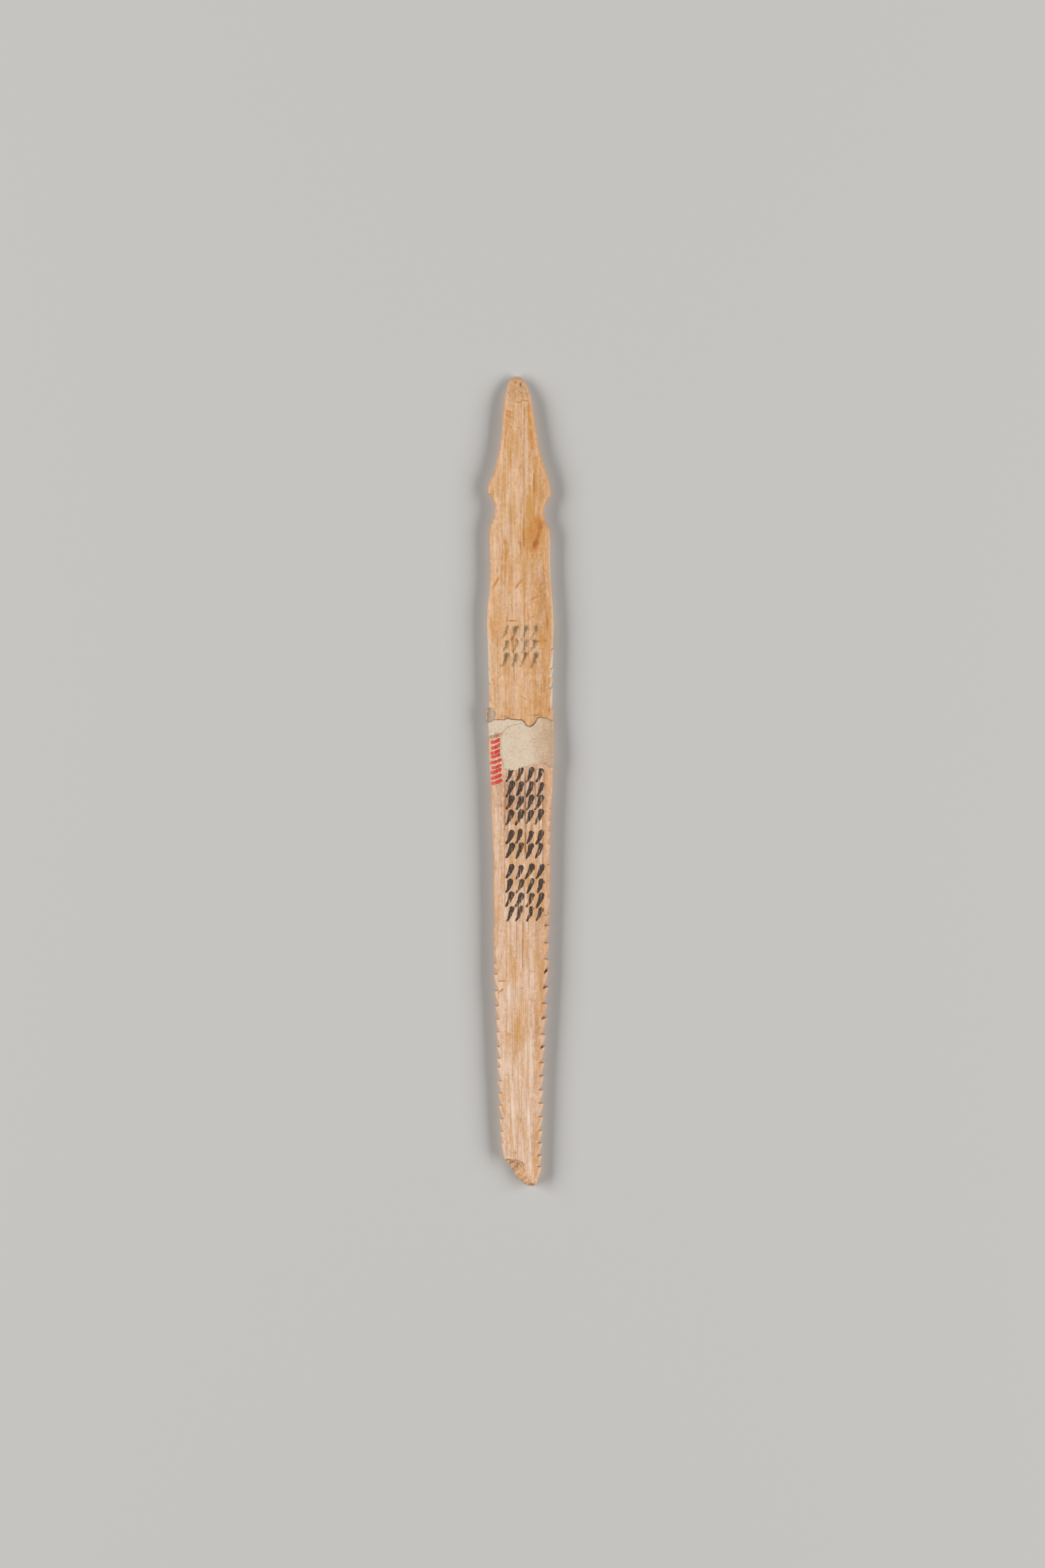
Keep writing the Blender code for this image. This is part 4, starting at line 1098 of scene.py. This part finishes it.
def dress_bone(node, name, foot, marks, strokes, material, look):
    """Makes one length of bone from its solid, with all that is carved and painted on it."""
    piece = even_copy(node, name, BONE_CELL, GRAIN_STRETCH)
    thin_underside(piece)
    points, normals = points_of(piece.data), points_of(piece.data, "normal")
    if foot:
        broken = spongy_part(points, normals, foot) * (normals[:, 2] > BREAK_TILT)
        part = broken * (points[:, 1] < TEETH_FROM) > 0.5
        modify(piece, "SMOOTH", part, use_x=False, use_y=False, iterations=BREAK_SMOOTHING)
        points, normals = points_of(piece.data), points_of(piece.data, "normal")
    face, spongy = normals[:, 2] > FACE_TILT, spongy_part(points, normals, foot)
    vessels = [(wandering(a, b, STRAY, k), w, d) for k, (a, b, w, d) in enumerate(marks["grooves"])]
    vessels += faint_grooves(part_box(node), look.seed + foot) + marks["cracks"]
    bare = [
        (wandering(a, b, STRAY, 40 + k), w * FIBRE_SPREAD, s)
        for k, (a, b, w, s) in enumerate(marks["fibres"])
    ]
    groove = (carve(points, vessels) + patches(points, marks["pits"], 2.0)) * face
    groove += patches(points, pores(*marks["pores"]), 2.0) * face * spongy
    scratch = carve(points, scratches(marks["scratches"])) * face
    chips = patches(points, marks["chips"] + nicks(marks["nicks"], seed=9), 1.3)
    rim = wall_distance(points, normals)
    lip = (points[:, 1] > LIP_FROM) & (points[:, 1] < MEND_SPAN[1]) & (np.abs(points[:, 0]) < LIP_REACH)
    lip_dirt = lip * np.clip(LIP_DIRT - rim / LIP_FADE, 0.0, LIP_MOST)
    # Where the painted highlight on the teeth's flanks goes.
    flank = wall_distance(points, normals, sideways=FLANK_TILT) + np.interp(points[:, 1], *FLANKS)
    # Where the painted shade in the teeth's roots goes.
    root = np.where(points[:, 1] < TEETH_FROM, wall_distance(points, normals, lengthways=ROOT_TILT), FAR)
    painted = {
        layer: np.where(face, brushed(points, strokes.get(layer, [])), -1.0)
        for layer in ("ink", "faded", "red")
    }
    store(piece.data, {
        "groove": groove,
        "scratch": scratch,
        "chip": np.clip(chips / FRESH, 0.0, 1.0),
        "carved": groove + scratch + chips + INK_SUNK * (painted["ink"] > 0.0),
        "fibre": carve(points, bare) * face,
        "amber": patches(points, marks["amber"]),
        "rust": patches(points, marks["rust"]),
        "umber": np.maximum(patches(points, marks["umber"]), lip_dirt),
        "chalk": patches(points, marks["chalk"], 2.0),
        # The steep sides, where the painted shade in the edge colour goes.
        "wall": steepness(normals),
        "rim": rim,
        "flank": flank,
        "root": root,
        "spongy": spongy,
        "fibrous": fibrous_part(points, foot) * (1.0 - spongy),
        **painted,
    })
    run_tree(piece, bone_relief(), material, look)
    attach(piece, "root")
    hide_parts(node)


class BONE_SAW_OT_bone(bpy.types.Operator):
    """Make both lengths of bone, with their grain, stains and marks"""

    bl_idname = "bone_saw.bone"
    bl_label = "Make the bone"

    def execute(self, context):
        look, marks = context.scene.bone_saw_bone, context.scene.bone_saw_marks
        brush = (marks.stroke_length, marks.stroke_width, marks.stroke_lean, BRUSH_TAPER)
        pen = (marks.pen_length, marks.pen_width, marks.pen_lean, 1.0)
        worn = {"faded": stroke_rows(FADED_GROUPS, FADED_ACROSS, brush, seed=5)}
        clear = {
            "ink": stroke_rows(INK_GROUPS, INK_ACROSS, brush, seed=1),
            "red": stroke_rows(RED_GROUPS, RED_ACROSS, pen, seed=2),
        }
        upper_skin = bone_material("worked_bone_upper", look, marks, look.upper_light, look.upper_dark)
        lower_skin = bone_material("worked_bone_lower", look, marks, look.lower_light, look.lower_dark)
        dress_bone("upper_blade", "upper_bone", False, UPPER, worn, upper_skin, look)
        dress_bone("lower_blade", "lower_bone", True, LOWER, clear, lower_skin, look)
        return {"FINISHED"}


class BONE_SAW_OT_plaster(bpy.types.Operator):
    """Make the plaster that fills the gap between the two lengths of bone"""

    bl_idname = "bone_saw.plaster"
    bl_label = "Make the plaster"

    def execute(self, context):
        look = context.scene.bone_saw_mend
        piece = even_copy("plaster_fill", "plaster_mend", PLASTER_CELL)
        points, normals = points_of(piece.data), points_of(piece.data, "normal")
        flat = np.hypot(*normals[:, :2].T)
        sideways = normals[:, :2] / np.maximum(flat, 1e-6)[:, None]
        low, high = [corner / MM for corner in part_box("plaster_fill")]
        outer = (points[:, 0] < low.x + PLASTER_OUTER) | (points[:, 0] > high.x - PLASTER_OUTER)
        wall = (flat > PLASTER_WALL) & ~outer
        top = np.clip((points[:, 2] - PLASTER_TOP) / TOP_BLEND, 0.0, 1.0)
        open_part = np.clip((points[:, 2] - JOINT_LEVEL) / JOINT_BLEND, 0.0, 1.0)
        upper = (points[:, 1] > UPPER_FRACTURE) & (normals[:, 1] > 0.0)
        spread = PLASTER_SPREAD - upper * open_part * np.interp(points[:, 0], *np.array(JOINT_OPEN).T)
        for pitch, height in RAGGED:
            spread += ~upper * top * height * (1.0 + np.sin(points[:, 0] * pitch))
        points[wall, :2] += sideways[wall] * spread[wall, None]
        points[:, 0] = np.clip(points[:, 0], low.x, high.x)
        rise = np.interp(points[:, 1], PLASTER_LEVEL[::-1], (PLASTER_RISE, PLASTER_RISE - PLASTER_LOW))
        points[:, 2] += rise * top
        set_points(piece.data, points)
        # Where the joint's dirt and painted shadow go: near the upper fracture.
        fracture = upper & wall & (normals[:, 1] > UPPER_FACING)
        store(piece.data, {
            "joint": plane_distance(points, points[fracture]),
            "wall": steepness(normals),
            "groove": carve(points, PLASTER_CRACKS) + patches(points, PLASTER_SCARS, 2.0),
        })
        run_tree(piece, plaster_relief(), plaster_material(look), look)
        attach(piece, "root")
        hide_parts("plaster_fill")
        return {"FINISHED"}


def glue_film(bm):
    """A thin lens of glue that lies on the face of the bone and reaches into it."""
    bone = frame["nodes"]["upper_blade"].data
    ground = BVHTree.FromPolygons([v.co / MM for v in bone.vertices], [p.vertices for p in bone.polygons])
    rings = []
    for k in range(1, FILM_RINGS + 1):
        r = k / FILM_RINGS
        ring = []
        for j in range(FILM_AROUND):
            angle = 2 * math.pi * j / FILM_AROUND
            ragged = 1.0 + FILM_WAVE * math.sin(3 * angle + 1.0) + FILM_WAVE * math.sin(7 * angle)
            x = FILM_CENTRE[0] + FILM_RADII[0] * r * ragged * math.cos(angle)
            x = max(x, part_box("glue_bead")[0].x / MM + FILM_MARGIN)
            y = FILM_CENTRE[1] + FILM_RADII[1] * r * ragged * math.sin(angle)
            place = ground.ray_cast(Vector((x, y, 9.0)), Vector((0.0, 0.0, -1.0)))[0]
            out = max(BONE_EDGE - x, 0.0)
            z = max(place.z if place else 0.0, EDGE_HEIGHT - EDGE_FALL * out * out)
            deep = min(FILM_DEEP + out, z - FILM_LOW)
            ring.append((x, y, z + FILM_THICK * (1.0 - r**4) - FILM_SINK * r**4, deep))
        rings.append(ring)
    rims = []
    for side in (0, 1):
        middle = bm.verts.new((*FILM_CENTRE, rings[0][0][2] - side * FILM_DEEP))
        last = None
        for ring in rings:
            here = [bm.verts.new((x, y, z - side * deep)) for x, y, z, deep in ring]
            for j in range(FILM_AROUND):
                if last is None:
                    bm.faces.new((middle, here[j - 1], here[j]))
                else:
                    bm.faces.new((last[j - 1], here[j - 1], here[j], last[j]))
            last = here
        rims.append(last)
    for j in range(FILM_AROUND):
        bm.faces.new((rims[0][j - 1], rims[1][j - 1], rims[1][j], rims[0][j]))


class BONE_SAW_OT_glue(bpy.types.Operator):
    """Make the drop of glue that ran out of the joint, and its film"""

    bl_idname = "bone_saw.glue"
    bl_label = "Make the glue"

    def execute(self, context):
        look = context.scene.bone_saw_mend
        piece = even_copy("glue_bead", "glue_drop", GLUE_CELL)
        bm = bmesh.new()
        bm.from_mesh(piece.data)
        bmesh.ops.scale(bm, vec=(1 / MM,) * 3, verts=bm.verts)
        glue_film(bm)
        bmesh.ops.scale(bm, vec=(MM,) * 3, verts=bm.verts)
        bmesh.ops.recalc_face_normals(bm, faces=bm.faces)
        bm.to_mesh(piece.data)
        bm.free()
        remesh(piece, GLUE_CELL)
        modify(piece, "SMOOTH", iterations=DROP_SMOOTHING)
        points = points_of(piece.data)
        x, y, radius = BUBBLE
        r = np.hypot(points[:, 0] - x, points[:, 1] - y) / radius
        on_top = points[:, 2] > DROP_TOP
        points[:, 2] += on_top * BUBBLE_HEIGHT * np.exp(-((r * BUBBLE_SWELL) ** 4))
        set_points(piece.data, points)
        # Where the bubble's painted shade and highlight go.
        bubble = np.clip(BUBBLE_SHADE - r, 0.0, 1.0) * on_top
        thin = np.clip((points[:, 0] - BONE_EDGE) / THIN_OVER + THIN_EDGE, 0.0, 1.0)
        store(piece.data, {"bubble": bubble, "thin": thin})
        piece.data.materials.append(glue_material(look))
        piece.data.shade_smooth()
        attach(piece, "root")
        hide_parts("glue_bead")
        return {"FINISHED"}


class BONE_SAW_OT_stage(bpy.types.Operator):
    """Set up the floor, the lights and the camera"""

    bl_idname = "bone_saw.stage"
    bl_label = "Set the stage"

    def execute(self, context):
        scene, look = context.scene, context.scene.bone_saw_stage
        material, tree = new_material("matt_board")
        close_material(tree, {"Base Color": (*look.floor, 1.0), "Roughness": 0.9, "Specular IOR Level": 0.1})
        bm = bmesh.new()
        bmesh.ops.create_grid(bm, x_segments=1, y_segments=1, size=FLOOR_SIZE / 2)
        bmesh.ops.translate(bm, vec=(0.0, 0.0, CAD_BOX[0][2] - FLOOR_DROP), verts=bm.verts)
        mesh = bpy.data.meshes.new("floor")
        bm.to_mesh(mesh)
        bm.free()
        mesh.materials.append(material)
        floor = bpy.data.objects.new("floor", mesh)
        scene.collection.objects.link(floor)

        for name, place in LAMPS:
            lamp = bpy.data.lights.new(name, "AREA")
            lamp.shape = "RECTANGLE"
            lamp.size, lamp.size_y = LAMP_SIZE
            lamp.energy = look.lamp_power
            holder = bpy.data.objects.new(name, lamp)
            holder.location = place
            holder.rotation_euler = (-Vector(place)).to_track_quat("-Z", "Y").to_euler()
            scene.collection.objects.link(holder)

        world = bpy.data.worlds.new("even_light")
        world.use_nodes = True
        world.node_tree.nodes["Background"].inputs["Strength"].default_value = look.sky_strength
        world.node_tree.nodes["Background"].inputs["Color"].default_value = (1.0, 1.0, 1.0, 1.0)
        scene.world = world

        camera = bpy.data.cameras.new("camera")
        camera.lens = LENS
        eye = bpy.data.objects.new("camera", camera)
        eye.location = (*VIEW_CENTRE, VIEW_HEIGHT)
        scene.collection.objects.link(eye)
        scene.camera = eye
        scene.view_settings.view_transform = "Standard"
        return {"FINISHED"}


class BONE_SAW_PT_looks(bpy.types.Panel):
    """Sizes and colours of the bone saw"""

    bl_label = "Bone saw"
    bl_space_type = "VIEW_3D"
    bl_region_type = "UI"
    bl_category = "Bone saw"

    def draw(self, context):
        for label, operators, groups in PANEL:
            box = self.layout.box()
            box.label(text=label)
            for group in groups:
                settings = getattr(context.scene, group)
                for name in type(settings).__annotations__:
                    box.prop(settings, name)
            for operator in operators:
                box.operator(operator)


OPERATORS = (BONE_SAW_OT_bone, BONE_SAW_OT_plaster, BONE_SAW_OT_glue, BONE_SAW_OT_stage)
PANEL = (
    ("Bone", ["bone_saw.bone"], ["bone_saw_bone", "bone_saw_marks"]),
    ("Mend", ["bone_saw.plaster", "bone_saw.glue"], ["bone_saw_mend"]),
    ("Stage", ["bone_saw.stage"], ["bone_saw_stage"]),
)
GROUPS = {
    "bone_saw_bone": BoneLook, "bone_saw_marks": MarkLook, "bone_saw_mend": MendLook,
    "bone_saw_stage": StageLook,
}


def register():
    for made in (*GROUPS.values(), *OPERATORS, BONE_SAW_PT_looks):
        bpy.utils.register_class(made)
    for name, group in GROUPS.items():
        setattr(bpy.types.Scene, name, PointerProperty(type=group))


def unregister():
    for name in GROUPS:
        delattr(bpy.types.Scene, name)
    for made in (BONE_SAW_PT_looks, *reversed(OPERATORS), *GROUPS.values()):
        bpy.utils.unregister_class(made)


def main():
    register()
    bpy.ops.bone_saw.bone()
    bpy.ops.bone_saw.plaster()
    bpy.ops.bone_saw.glue()
    bpy.ops.bone_saw.stage()


if __name__ == "__main__":
    main()
